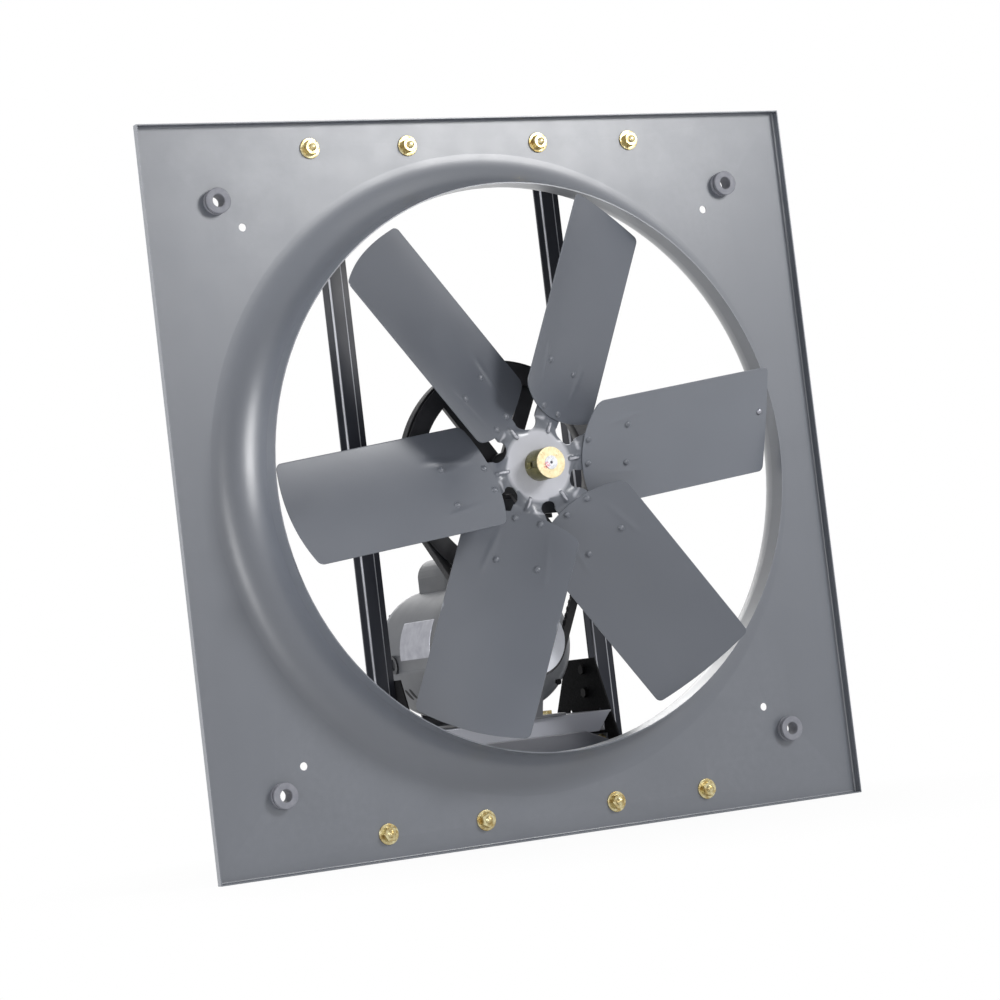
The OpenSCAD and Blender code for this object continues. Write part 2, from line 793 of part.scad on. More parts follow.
// Lower shelf: a tray between the gussets with a bevelled front flange
tray_half = bay_half - frame_t;
tray_back = foot_front + foot_len - shelf_rear_inset;
tray_lug_shares = [0.17, 0.8];
module lower_shelf() {
    lug_y = foot_front + foot_len * tray_lug_shares[0];
    lug_len = foot_len * (tray_lug_shares[1] - tray_lug_shares[0]);
    color(frame_black) difference() {
        union() {
            translate([-tray_half, foot_front, gusset_bottom])
                cube([2 * tray_half, tray_back - foot_front, frame_t]);
            along_y(foot_front, frame_t) translate([0, gusset_bottom]) polygon([
                [-tray_half, 0], [tray_half, 0], [tray_half, frame_t], [tray_half - shelf_bevel, shelf_lip],
                [shelf_bevel - tray_half, shelf_lip], [-tray_half, frame_t]]);
            translate([-tray_half, tray_back - frame_t, gusset_bottom])
                cube([2 * tray_half, frame_t, shelf_edge]);
            for (x = [-tray_half, tray_half - frame_t])
                translate([x, lug_y, gusset_bottom])
                    cube([frame_t, lug_len, shelf_edge]);
        }
        for (m = [0, 1])
            mirror([m, 0, 0]) holes_x(frame_bolt_d, tray_half - frame_t, tray_half, tray_places);
    }
}
module lower_shelf_bolts() {
    bolts_x(tray_half - frame_t, bay_half, tray_places);
}

// Belt: a wedge section round the sheave and the pulley and along both runs.
// The runs are a little slimmer and longer, so that their ends lie inside the wraps.
run_slim = 0.02;
run_lap = 0.5;
belt_slope = tan(groove_angle);
function belt_section(pitch, slim = 0) = [
    [pitch + belt_rise - slim, belt_y - belt_w / 2 + 2 * slim],
    [pitch + belt_rise - slim, belt_y + belt_w / 2 - 2 * slim],
    [pitch + belt_rise - belt_t + slim, belt_y + belt_w / 2 - belt_t * belt_slope - slim],
    [pitch + belt_rise - belt_t + slim, belt_y - belt_w / 2 + belt_t * belt_slope + slim]];
// The wedge of directions in which the pulley lies, seen from either wheel
module wrap_sector(r) {
    for (side = [-1, 1])
        turn_to(belt_lean)
            along_y(belt_y - belt_w, 2 * belt_w) polygon([
                [0, 0], [r, 0], r * [cos(wrap_half / 2), side * sin(wrap_half / 2)],
                r * [cos(wrap_half), side * sin(wrap_half)]]);
}
module drive_belt() {
    reach = 2 * (sheave_pitch_r + belt_w);
    color(sheave_black) on_axis() {
        difference() {
            turned() polygon(belt_section(sheave_pitch_r));
            wrap_sector(reach);
        }
        translate([motor_x, 0, -motor_drop]) intersection() {
            turned() polygon(belt_section(pulley_pitch_r));
            wrap_sector(reach);
        }
        for (side = [-1, 1])
            turn_to(belt_lean + side * wrap_half)
                translate([0, 0, -run_lap - (side > 0 ? run_len : 0)])
                    linear_extrude(run_len + 2 * run_lap) polygon(belt_section(sheave_pitch_r, run_slim));
    }
}
// Rim of a belt wheel, with a groove that clears the belt by the play
module rim_profile(pitch, inner_r) {
    top = pitch + belt_rise - belt_proud;
    floor_r = pitch + belt_rise - belt_t - groove_gap;
    mouth = belt_w / 2 - belt_proud * belt_slope + play / cos(groove_angle);
    low = mouth - (top - floor_r) * belt_slope;
    high = mouth + cut * belt_slope;
    difference() {
        translate([inner_r, belt_y - rim_w / 2]) square([top - inner_r, rim_w]);
        polygon([[top + cut, belt_y - high], [top + cut, belt_y + high],
            [floor_r, belt_y + low], [floor_r, belt_y - low]]);
    }
}

// Fan shaft with a keyway under the sheave
key_w = shaft_d / 4;
sheave_hub_front = belt_y - sheave_hub_lead;
sheave_hub_back = belt_y + sheave_hub_tail;
module key_bar() {
    translate([-key_w / 2, sheave_hub_front, shaft_d / 2 - key_w / 2])
        cube([key_w, sheave_hub_back - sheave_hub_front, key_w]);
}
module fan_shaft() {
    color(steel) on_axis() difference() {
        rod_y(shaft_d / 2, shaft_front, shaft_back);
        key_bar();
    }
}
module shaft_key() {
    color(steel) on_axis() key_bar();
}

// Puts a blade's own frame in place: X along the blade, Z along its chord
module at_blade(i) {
    turn_to(blade_start + i * 360 / blade_count)
        translate([0, -blade_plane, 0])
            rotate([blade_pitch, 0, 0]) children();
}
// Part of the cambered sheet between two depths behind the blade's front face
module camber_sheet(d0, d1, reach) {
    translate([0, blade_sag - blade_radius, 0])
        rotate([0, 90, 0])
            difference() {
                cylinder(r = blade_radius + d1, h = reach, $fn = fine_fn);
                translate([0, 0, -cut]) cylinder(r = blade_radius + d0, h = reach + 2 * cut, $fn = fine_fn);
            }
}
// Outline of a blade: curved root, straight sides, tip cut to the swept circle
module blade_outline() {
    half = blade_chord / 2;
    tip_u = sqrt(pow(tip_r - tip_corner_r, 2) - pow(half - tip_corner_r, 2));
    arc_u = root_r + root_arc_r;
    root_u = arc_u - sqrt(pow(root_arc_r - root_corner_r, 2) - pow(half - root_corner_r, 2));
    tip_half = (half - tip_corner_r) * tip_r / (tip_r - tip_corner_r);
    root_half = (half - root_corner_r) * root_arc_r / (root_arc_r - root_corner_r);
    translate([root_u, -half]) square([tip_u - root_u, blade_chord]);
    intersection() {
        circle(r = tip_r, $fn = fine_fn);
        translate([tip_u - cut, -tip_half]) square([tip_r - tip_u + 2 * cut, 2 * tip_half]);
    }
    intersection() {
        translate([arc_u, 0]) circle(r = root_arc_r, $fn = fine_fn);
        translate([root_r - cut, -root_half]) square([root_u - root_r + 2 * cut, 2 * root_half]);
    }
    for (side = [-1, 1]) {
        translate([tip_u, side * (half - tip_corner_r)]) circle(r = tip_corner_r);
        translate([root_u, side * (half - root_corner_r)]) circle(r = root_corner_r);
    }
}
rivet_places = [[rivet_inner_u, rivet_inner_gap / 2], [rivet_inner_u, -rivet_inner_gap / 2],
    [rivet_outer_u, rivet_outer_gap / 2], [rivet_outer_u, -rivet_outer_gap / 2]];
balance_place = [tip_r - balance_inset, balance_offset];
// Stands a child on the blade's front face at [along, across], square to it
module on_blade(p) {
    translate([p[0], blade_sag - blade_radius, 0])
        rotate([asin(p[1] / blade_radius), 0, 0])
            translate([0, blade_radius, 0]) children();
}
module rivet_hole() {
    rod_y(rivet_d / 2, -blade_sag, blade_sag);
}
module blade(i) {
    color(blade_grey) on_axis() at_blade(i) difference() {
        intersection() {
            camber_sheet(0, blade_t, tip_r + cut);
            along_y(-blade_sag, 3 * blade_sag) translate([0, -chord_lead]) blade_outline();
        }
        for (p = rivet_places) on_blade(p) rivet_hole();
        if (i == 0) on_blade(balance_place) rivet_hole();
    }
}
module blade_1() {
    blade(0);
}
module blade_2() {
    blade(1);
}
module blade_3() {
    blade(2);
}
module blade_4() {
    blade(3);
}
module blade_5() {
    blade(4);
}
module blade_6() {
    if (blade_count > 5) blade(5);
}

// Rivets: a dome head in front, a shank as long as the grip and a set tail behind
rivet_tail_d_share = 0.84;
rivet_tail_h_share = 0.7;
module rivet(grip) {
    dome_r = (pow(rivet_head_d / 2, 2) + pow(rivet_head_h, 2)) / (2 * rivet_head_h);
    intersection() {
        translate([0, dome_r - rivet_head_h - seat, 0]) sphere(r = dome_r);
        rod_y(rivet_head_d, -rivet_head_h - cut, -seat);
    }
    rod_y(rivet_d / 2, -seat, grip + seat);
    rod_y(rivet_head_d * rivet_tail_d_share / 2, grip + seat, grip + rivet_head_h * rivet_tail_h_share);
}
module blade_rivets() {
    color(blade_grey) on_axis() for (i = [0:blade_count - 1])
        at_blade(i)
            for (p = rivet_places) on_blade(p) rivet(blade_t + spider_t);
}
module balance_rivet() {
    color(steel) on_axis() at_blade(0) on_blade(balance_place) rivet(blade_t);
}

// Spider: a flat notched centre and pitched arms that back the blades
arm_root_share = 0.6;
arm_corner_share = 0.17;
module arm_outline() {
    r = arm_end_w * arm_corner_share;
    end_u = arm_end_r - r;
    root_u = spider_r * arm_root_share;
    polygon([[root_u, -arm_root_w / 2], [end_u, -arm_end_w / 2],
        [end_u, arm_end_w / 2], [root_u, arm_root_w / 2]]);
    translate([end_u - cut, r - arm_end_w / 2]) square([r + cut, arm_end_w - 2 * r]);
    for (side = [-1, 1])
        translate([end_u, side * (arm_end_w / 2 - r)]) circle(r = r);
}
module spider_hub() {
    color(blade_grey) on_axis() difference() {
        union() {
            rod_y(spider_r, spider_front, spider_back);
            for (i = [0:blade_count - 1]) at_blade(i) {
                intersection() {
                    camber_sheet(blade_t, blade_t + spider_t, arm_end_r + cut);
                    along_y(-blade_sag, 4 * blade_sag) arm_outline();
                }
                translate([0, blade_sag + blade_t, 0]) rod_x(rib_r, rib_start, rib_end);
            }
        }
        rod_y(shaft_d / 2 + bushing_neck, bushing_front, spider_back + bushing_len);
        for (i = [0:blade_count - 1]) {
            at_blade(i)
                for (p = rivet_places) on_blade(p) rivet_hole();
            turn_to(blade_start + (i + 1 / 2) * 360 / blade_count)
                translate([notch_u, 0, 0]) rod_y(notch_r, bushing_front, spider_back + bushing_len);
        }
    }
}

// Hub bushing: a barrel in front, a neck through the spider and a rear collar
module hub_bushing() {
    color(zinc_yellow) on_axis() difference() {
        union() {
            rod_y(bushing_d / 2, bushing_front, spider_front);
            rod_y(shaft_d / 2 + bushing_neck, spider_front, spider_back);
            rod_y(bushing_d / 2, spider_back, bushing_back);
        }
        rod_y(shaft_d / 2, bushing_front - cut, bushing_back + cut);
        at_hub_screws() rod_x(set_screw_d / 2, 0, bushing_d);
    }
}
module at_hub_screws() {
    for (angle = [180, 270])
        turn_to(angle) translate([0, hub_screw_y, 0]) children();
}
module hub_set_screws() {
    color(steel) on_axis() at_hub_screws()
        socket_screw(set_screw_d, shaft_d / 2, bushing_d / 2 - set_screw_d / 3);
}

// Fan sheave: a grooved rim, spokes and a keyed hub
sheave_screw_y = sheave_hub_back - set_screw_d;
module fan_sheave() {
    color(sheave_black) on_axis() difference() {
        union() {
            turned() rim_profile(sheave_pitch_r, rim_inner_r);
            rod_y(sheave_hub_r, sheave_hub_front, sheave_hub_back);
            for (k = [0:spoke_count - 1])
                turn_to(spoke_start + k * 360 / spoke_count)
                    translate([sheave_hub_r / 2, belt_y - spoke_t / 2, -spoke_w / 2])
                        cube([rim_inner_r - sheave_hub_r / 2 + spoke_lap, spoke_t, spoke_w]);
        }
        rod_y(shaft_d / 2, sheave_hub_front - cut, sheave_hub_back + cut);
        translate([-key_w / 2, sheave_hub_front - cut, 0])
            cube([key_w, sheave_hub_back - sheave_hub_front + 2 * cut, shaft_d / 2 + key_w / 2]);
        translate([0, sheave_screw_y, 0])
            turn_to(180) rod_x(set_screw_d / 2, 0, sheave_hub_r + cut);
    }
}
// How far the spokes run into the rim
spoke_lap = 3;
module sheave_set_screw() {
    color(steel) on_axis() translate([0, sheave_screw_y, 0])
        turn_to(180) socket_screw(set_screw_d, shaft_d / 2, sheave_hub_r - set_screw_d / 3);
}

// Motor base: an inverted channel clamped in the gussets' slots
base_half = bay_half - 2 * frame_t;
base_lug_shares = [0.2, 0.72];
module motor_base() {
    lug_y = foot_front + foot_len * base_lug_shares[0];
    lug_len = foot_len * (base_lug_shares[1] - base_lug_shares[0]);
    color(frame_black) difference() {
        union() {
            translate([-base_half, base_front, base_z - frame_t])
                cube([2 * base_half, base_depth, frame_t]);
            along_y(base_front, frame_t) base_flange(base_h);
            along_y(base_front + base_depth - frame_t, frame_t) base_flange(base_h / 2);
            for (x = [-base_half - frame_t, base_half])
                translate([x, lug_y, base_z - base_h])
                    cube([frame_t, lug_len, base_h]);
        }
        for (m = [0, 1])
            mirror([m, 0, 0]) holes_x(frame_bolt_d, base_half, base_half + frame_t, clamp_places);
        at_cradle_bolts()
            translate([0, 0, base_z - frame_t - cut])
                cylinder(d = frame_bolt_d + 2 * seat, h = frame_t + 2 * cut);
    }
}
module base_flange(h) {
    polygon([[-base_half, base_z], [base_half, base_z],
        [base_half - base_bevel, base_z - h], [base_bevel - base_half, base_z - h]]);
}
module base_clamp_bolts() {
    bolts_x(base_half, bay_half, clamp_places);
}

// Cradle: a foot plate with two uprights that hold the rubber rings
ring_r = bell_hub_r + ring_wall;
ring_front = hub_front + ring_lip;
upright_y = ring_front + ring_len / 2 - cradle_t / 2;
upright_r = ring_r + 2 * cradle_t;
cradle_bolt_edge = frame_bolt_d * head_af_share;
module at_cradle_bolts() {
    for (side = [-1, 1], y = [upright_y + cradle_bolt_inset, 2 * motor_mid - upright_y - cradle_bolt_inset])
        translate([motor_x + side * (cradle_w / 2 - cradle_bolt_edge), y, 0]) children();
}
// Both ends of the motor, each seen from the front
module at_motor_ends() {
    at_motor_end(false) children();
    at_motor_end(true) children();
}
module at_motor_end(rear) {
    translate([motor_x, rear ? 2 * motor_mid : 0, motor_z])
        mirror([0, rear ? 1 : 0, 0]) children();
}
module motor_cradle() {
    color(frame_black) difference() {
        union() {
            translate([motor_x - cradle_w / 2, upright_y, base_z])
                cube([cradle_w, 2 * (motor_mid - upright_y), cradle_t]);
            at_motor_ends() along_y(upright_y, cradle_t) {
                circle(r = upright_r);
                polygon([[-upright_r, 0], [upright_r, 0],
                    [upright_foot_w / 2, -cradle_height], [-upright_foot_w / 2, -cradle_height]]);
            }
        }
        at_motor_ends() rod_y(ring_r, upright_y - cut, upright_y + cradle_t + cut);
        at_cradle_bolts()
            translate([0, 0, base_z - cut])
                cylinder(d = frame_bolt_d + 2 * seat, h = cradle_t + 2 * cut);
    }
}
module cradle_bolts() {
    color(zinc_yellow) at_cradle_bolts() bolt_z(frame_bolt_d, base_z + cradle_t, base_z - frame_t);
}
module rubber_ring(rear) {
    ring_back = ring_front + ring_len;
    color(rubber_grey) at_motor_end(rear) difference() {
        union() {
            rod_y(ring_r, ring_front, ring_back);
            for (y = [ring_front, ring_back - ring_lip]) rod_y(ring_r + ring_lip, y, y + ring_lip);
        }
        rod_y(bell_hub_r, ring_front - cut, ring_back + cut);
    }
}
module front_rubber_ring() {
    rubber_ring(false);
}
module rear_rubber_ring() {
    rubber_ring(true);
}

// Motor shell with its end bells, which turn down to a hub for the bearing
spigot_r = motor_r - motor_wall;
plug_y = motor_end - plug_inset;
module motor_shell() {
    color(motor_grey) translate([motor_x, 0, motor_z]) difference() {
        rod_y(motor_r, motor_front, motor_end);
        rod_y(spigot_r, motor_front - cut, motor_end + cut);
        translate([0, plug_y, 0]) turn_to(plug_angle) rod_x(plug_r, spigot_r / 2, motor_r + cut);
    }
}
through_r = spigot_r - through_d;
shoulder_share = 0.8;
edge_share = 0.93;
edge_depth_share = 0.8;
rim_depth_share = 0.45;
// How much further forward the bell stands at its hub than at its shoulder
bell_dish = 3;
// Gap between the motor shaft and the bells' outer bores
bell_bore_gap = 1;
module end_bell(rear) {
    seat_r = bearing_od / 2;
    bore_r = motor_shaft_d / 2 + bell_bore_gap;
    pocket_back = motor_front - bell_depth + bearing_w;
    pocket_front = pocket_back - 2 * bearing_w;
    color(motor_grey) at_motor_end(rear) difference() {
        turned() polygon([
            [bore_r, hub_front], [bell_hub_r, hub_front],
            [bell_hub_r, motor_front - bell_depth - bell_dish],
            [motor_r * shoulder_share, motor_front - bell_depth],
            [motor_r * edge_share, motor_front - bell_depth * edge_depth_share],
            [motor_r, motor_front - bell_depth * rim_depth_share], [motor_r, motor_front],
            [spigot_r, motor_front], [spigot_r, motor_front + spigot_len],
            [spigot_r - bell_wall, motor_front + spigot_len],
            [spigot_r - bell_wall, motor_front - bell_depth * rim_depth_share],
            [motor_r * shoulder_share, motor_front - bell_depth + bell_wall],
            [bell_hub_r, motor_front - bell_depth - bell_dish + bell_wall],
            [bell_hub_r, pocket_back], [seat_r, pocket_back],
            [seat_r, pocket_front], [bore_r, pocket_front]]);
        at_through_bolts() rod_y(through_d / 2 + seat, hub_front, motor_front + spigot_len + cut);
    }
}
module at_through_bolts() {
    for (angle = [45:90:315])
        rotate([0, angle, 0])
            translate([through_r, 0, 0]) children();
}
module front_end_bell() {
    end_bell(false);
}
module rear_end_bell() {
    end_bell(true);
}
module motor_through_bolts() {
    front = motor_front - bell_depth;
    head_h = through_d * head_h_share;
    color(zinc_yellow) translate([motor_x, 0, motor_z]) at_through_bolts() {
        rod_y(through_d / 2, front, 2 * motor_mid - front);
        hex_y(through_d * head_af_share, front - head_h, head_h);
        hex_y(through_d * head_af_share, 2 * motor_mid - front, head_h);
    }
}
// Stator and rotor cores, centred in the shell
core_front = motor_mid - core_len / 2;
core_back = motor_mid + core_len / 2;
module stator_core() {
    color(steel) translate([motor_x, 0, motor_z]) difference() {
        rod_y(spigot_r, core_front, core_back);
        rod_y(rotor_r + air_gap, core_front - cut, core_back + cut);
        at_through_bolts() rod_y(through_d, core_front - cut, core_back + cut);
    }
}
// Gap between the rotor's surface and the windings
coil_gap = 3;
module stator_windings() {
    inner_r = rotor_r + coil_gap;
    color(coil_brown) at_motor_ends() difference() {
        rod_y(inner_r + coil_w, core_front - coil_len, core_front);
        rod_y(inner_r, core_front - coil_len - cut, core_front + cut);
    }
}
module motor_bearing(rear) {
    front = motor_front - bell_depth - bearing_w;
    color(steel) at_motor_end(rear) difference() {
        rod_y(bearing_od / 2, front, front + bearing_w);
        rod_y(motor_shaft_d / 2 + running, front - cut, front + bearing_w + cut);
    }
}
module front_motor_bearing() {
    motor_bearing(false);
}
module rear_motor_bearing() {
    motor_bearing(true);
}

// Capacitor under an arched cover with a round nose, on top of the shell
cap_back = motor_end - cap_inset;
cap_nose = cap_back - cap_len + cap_w / 2;
cap_axis = motor_r + cap_h - cap_w / 2;
module cap_form(shrink) {
    r = cap_w / 2 - shrink;
    along_y(cap_nose, cap_back - shrink - cap_nose) {
        translate([0, cap_axis]) circle(r = r);
        translate([-r, 0]) square([2 * r, cap_axis]);
    }
    translate([0, cap_nose, 0]) intersection() {
        rotate_extrude() {
            square([r, cap_axis]);
            translate([0, cap_axis]) intersection() {
                circle(r = r);
                square(r);
            }
        }
        translate([-r, -r, 0]) cube([2 * r, r, cap_axis + r]);
    }
}
module capacitor_cover() {
    color(motor_grey) translate([motor_x, 0, motor_z]) difference() {
        cap_form(0);
        cap_form(cap_wall);
        rod_y(motor_r, motor_front, cap_back + cut);
    }
}
module capacitor() {
    gap = cap_w / 2 - capacitor_r;
    color(plastic_black) translate([motor_x, 0, motor_z + motor_r + capacitor_r])
        rod_y(capacitor_r, cap_back - cap_len + cap_w / 2, cap_back - gap);
}
module conduit_plug() {
    rim = motor_wall;
    color(plastic_black) translate([motor_x, plug_y, motor_z]) turn_to(plug_angle) difference() {
        union() {
            rod_x(plug_r, spigot_r, motor_r + seat);
            rod_x(plug_r + rim, motor_r + seat, motor_r + rim);
        }
        rod_x(plug_r - rim, motor_r - rim / 2, motor_r + rim + cut);
    }
}
// Bare data plate, rolled to the shell
plate_low_share = 0.12;
module data_plate() {
    color(steel) intersection() {
        translate([motor_x, 0, motor_z]) difference() {
            rod_y(motor_r + seat + plate_t, motor_mid - plate_len / 2, motor_mid + plate_len / 2);
            rod_y(motor_r + seat, motor_front, motor_end);
        }
        translate([motor_x - 2 * motor_r, motor_front, motor_z - plate_h * plate_low_share])
            cube([2 * motor_r, motor_len, plate_h]);
    }
}

// Motor shaft, rotor and pulley
pulley_front = belt_y - rim_w / 2;
pulley_back = belt_y + rim_w / 2 + pulley_hub_len;
pulley_screw_d_share = 0.75;
pulley_screw_d = set_screw_d * pulley_screw_d_share;
pulley_screw_y = pulley_back - pulley_hub_len / 2;
// How far the motor shaft stands out of the pulley
motor_shaft_proud = 6;
module motor_shaft() {
    color(steel) translate([motor_x, 0, motor_z])
        rod_y(motor_shaft_d / 2, pulley_front - motor_shaft_proud, 2 * motor_mid - hub_front);
}
module motor_rotor() {
    color(steel) translate([motor_x, 0, motor_z]) difference() {
        rod_y(rotor_r, core_front, core_back);
        rod_y(motor_shaft_d / 2, core_front - cut, core_back + cut);
    }
}
module motor_pulley() {
    color(sheave_black) translate([motor_x, 0, motor_z]) difference() {
        union() {
            turned() rim_profile(pulley_pitch_r, motor_shaft_d / 4);
            rod_y(pulley_hub_r, belt_y, pulley_back);
        }
        rod_y(motor_shaft_d / 2, pulley_front - cut, pulley_back + cut);
        translate([0, pulley_screw_y, 0])
            turn_to(180) rod_x(pulley_screw_d / 2, 0, pulley_hub_r + cut);
    }
}
module pulley_set_screw() {
    color(steel) translate([motor_x, pulley_screw_y, motor_z])
        turn_to(180) socket_screw(pulley_screw_d, motor_shaft_d / 2, pulley_hub_r - pulley_screw_d / 3);
}

orifice_panel();
panel_isolators();
left_strut();
right_strut();
upper_feet();
lower_feet();
panel_bolts();
panel_washers();
panel_nuts();
bearing_shelf();
bearing_shelf_bolts();
front_bearing_housing();
rear_bearing_housing();
bearing_housing_bolts();
left_gusset();
right_gusset();
gusset_bolts();
lower_shelf();
lower_shelf_bolts();
drive_belt();
fan_shaft();
shaft_key();
front_bearing_race();
rear_bearing_race();
spider_hub();
hub_bushing();
hub_set_screws();
blade_1();
blade_2();
blade_3();
blade_4();
blade_5();
blade_6();
blade_rivets();
balance_rivet();
fan_sheave();
sheave_set_screw();
motor_base();
base_clamp_bolts();
motor_cradle();
cradle_bolts();
front_rubber_ring();
rear_rubber_ring();
motor_shell();
front_end_bell();
rear_end_bell();
motor_through_bolts();
stator_core();
stator_windings();
front_motor_bearing();
rear_motor_bearing();
capacitor_cover();
capacitor();
conduit_plug();
data_plate();
motor_shaft();
motor_rotor();
motor_pulley();
pulley_set_screw();
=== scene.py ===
import json

import bmesh
import bpy
import numpy as np
from mathutils import Matrix, Vector, geometry


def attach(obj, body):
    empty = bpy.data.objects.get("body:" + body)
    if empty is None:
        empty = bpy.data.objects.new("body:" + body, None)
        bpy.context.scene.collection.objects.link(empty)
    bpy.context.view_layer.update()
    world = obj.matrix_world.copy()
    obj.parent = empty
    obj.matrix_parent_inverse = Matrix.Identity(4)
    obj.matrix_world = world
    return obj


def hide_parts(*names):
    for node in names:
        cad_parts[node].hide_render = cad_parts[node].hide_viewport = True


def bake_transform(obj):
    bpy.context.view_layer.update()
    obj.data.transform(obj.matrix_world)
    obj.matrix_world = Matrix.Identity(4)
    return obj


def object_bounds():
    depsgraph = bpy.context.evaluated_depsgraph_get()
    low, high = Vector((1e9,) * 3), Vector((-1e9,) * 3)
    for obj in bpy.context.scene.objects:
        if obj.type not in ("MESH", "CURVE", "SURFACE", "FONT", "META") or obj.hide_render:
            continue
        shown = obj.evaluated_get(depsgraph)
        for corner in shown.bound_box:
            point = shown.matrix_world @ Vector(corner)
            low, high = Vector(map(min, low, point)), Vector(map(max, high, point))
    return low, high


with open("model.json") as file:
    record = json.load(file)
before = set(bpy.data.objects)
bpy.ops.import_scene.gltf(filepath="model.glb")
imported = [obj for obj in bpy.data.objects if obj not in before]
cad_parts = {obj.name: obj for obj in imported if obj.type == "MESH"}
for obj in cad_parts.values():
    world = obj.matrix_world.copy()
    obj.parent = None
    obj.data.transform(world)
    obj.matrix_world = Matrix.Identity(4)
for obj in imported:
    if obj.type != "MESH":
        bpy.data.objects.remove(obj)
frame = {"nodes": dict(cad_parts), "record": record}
cad_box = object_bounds()
NODES = frame["nodes"]
SLOTS = {part["node"]: part["material_slot"] for part in frame["record"]["subparts"]}
MM = 0.001

# Camera, fitted to the photograph's panel corners, bolts and orifice
PHOTO_PIXELS = 1000
FOCAL_PIXELS = 3041
SENSOR_MM = 36
CAMERA_AT = (-2.0003, -3.7569, -0.2745)
CAMERA_RIGHT = (0.88199, -0.45646, -0.11717)
CAMERA_DOWN = (-0.07759, 0.10459, -0.99148)
CAMERA_AHEAD = (0.46483, 0.88358, 0.05683)

# Blades in millimetres and degrees, as the solids have them
AXIS_Z = 5.0
ARM_STEP = 60.0
BLADE_START = 6.5
BLADE_ANGLES = BLADE_START + ARM_STEP * np.arange(6)
BLADE_PITCH = np.radians(27.5)
BLADE_SAG = 9.5
HALF_CHORD = 80.0
BLADE_RADIUS = (HALF_CHORD ** 2 + BLADE_SAG ** 2) / (2 * BLADE_SAG)
BLADE_T = 1.6
BLADE_EDGE = 0.45
CHORD_PLANE = -90.4
CHORD_LEAD = 4.0
TIP_R = 382.0
TIP_CORNER = 7.0
ROOT_R = 71.0
ROOT_ARC = 162.0
ROOT_CORNER = 8.0
CREASE_H = 0.9
CREASE_HALF = 3.6
CREASE_OUT = 3.5
CREASE_RISE = (84.0, 140.0)
CREASE_FALL = (152.0, 172.0)

# Spider, rivets and bushing; an arm's side ends where it meets the round notch
SPIDER_T = 3.0
SPIDER_EDGE = 0.5
SPIDER_FRONT = CHORD_PLANE + (BLADE_SAG + BLADE_T) * np.cos(BLADE_PITCH)
SPIDER_NECK = 15.5
ARM_START = 31.8
ARM_START_HALF = 20.0
ARM_END = 152.7
ARM_END_HALF = 39.0
ARM_REACH = 166.0
ARM_CORNER = 13.26
ARM_SIDE_END = 62.84
NOTCH_AT = 62.0
NOTCH_R = 11.0
NOTCH_ARC = (326.2, 180.0 + ARM_STEP / 2)
BEND_START = 47.0
BEND_LEN = 26.0
BEND_SKEW_SHARE = 0.4
SECTOR_FADE = 8.0
RIB_H = 4.2
RIB_HALF = 2.3
RIB_RISE = (46.0, 50.0)
RIB_FALL = (64.0, 68.0)
RIVETS = [(along, side * across) for along, across in ((80.4, 17.9), (143.6, 28.9)) for side in (1, -1)]
BALANCE_RIVET = (369.0, 5.0)
RIVET_R = 2.5
RIVET_HEAD_R = 4.7
RIVET_HEAD_H = 3.0
RIVET_TAIL_R = 3.95
RIVET_TAIL_LEN = 2.1
BUSHING_LEN = 36.5
BUSHING_FRONT = SPIDER_FRONT - BUSHING_LEN

# Panel bolts and isolators
PANEL_T = 1.6
BOLT_SPREAD = 74.8
BOLT_ROW = 471.6
BOLT_R = 5.2
BOLT_BORE = 5.25
BOLT_TIP = -14.1
HEX_FLATS = 18.6
HEAD_FRONT = 4.65
HEAD_BACK = 11.41
NUT_FRONT = -10.5
WASHER_FRONT = -2.0
WASHER_R = 14.5
ISOLATOR_AT = 401.7

# Struts, belt and motor
STRUT_X = 178.5
STRUT_END = 448.6
STRUT_HALF = 20.0
STRUT_T = 3.0
STRUT_FRONT = 127.0
CROWN_HALF = 10.5
CROWN_H = 3.0
EAR_BACK = 157.0
EAR_LAP = 0.5
EARS = ((-396.0, -266.0), (-78.3, -28.3))
SHEAVE_R = 157.0
PULLEY_R = 48.3
BELT_Y = 26.0
BELT_NOTCH = 10.0
MOTOR_AT = (13.0, -233.0)
MOTOR_R = 95.0
VENTS = ((281.0, 210.4, 222.5), (266.0, 210.0, 221.6))
PLATE_Y = 208.0
PLATE_HALF = 50.0
PLATE_ANGLE = 166.5
PLATE_HALF_ANGLE = 17.0

# Width in millimetres, least angle in degrees and segments of the rounding on CAD edges
SOFT_EDGES = (
    (0.7, 35, 2, ("left_gusset", "right_gusset", "bearing_shelf", "upper_feet", "lower_feet",
                  "motor_cradle")),
    (2.0, 40, 3, ("front_bearing_housing", "rear_bearing_housing")),
    (1.3, 40, 3, ("motor_base", "lower_shelf", "capacitor_cover")),
    (0.8, 40, 2, ("fan_sheave", "motor_pulley", "front_end_bell", "rear_end_bell", "fan_shaft")),
    (0.8, 40, 3, ("hub_bushing",)),
    (0.4, 40, 2, ("bearing_shelf_bolts", "gusset_bolts", "lower_shelf_bolts", "base_clamp_bolts",
                  "cradle_bolts", "bearing_housing_bolts", "motor_through_bolts")),
)

# Name, place, target and side in metres, and watts of each area light
LIGHTS = (
    ("key softbox", (1.6, -2.9, 1.45), (0, 0, 0.35), 0.9, 66),
    ("overhead softbox", (0.3, -1.0, 3.2), (0, 0, 0), 1.6, 6),
    ("left softbox", (-3.4, -0.1, 0.9), (-0.4, 0, 0.05), 1.5, 85),
    ("low fill", (-0.9, -2.6, -0.25), (0.1, 0, 0), 0.5, 12),
    ("back fill", (1.2, 3.4, 1.8), (0, 0.1, 0), 2.0, 30),
)
SKY_STRENGTH = 0.22


# Small helpers

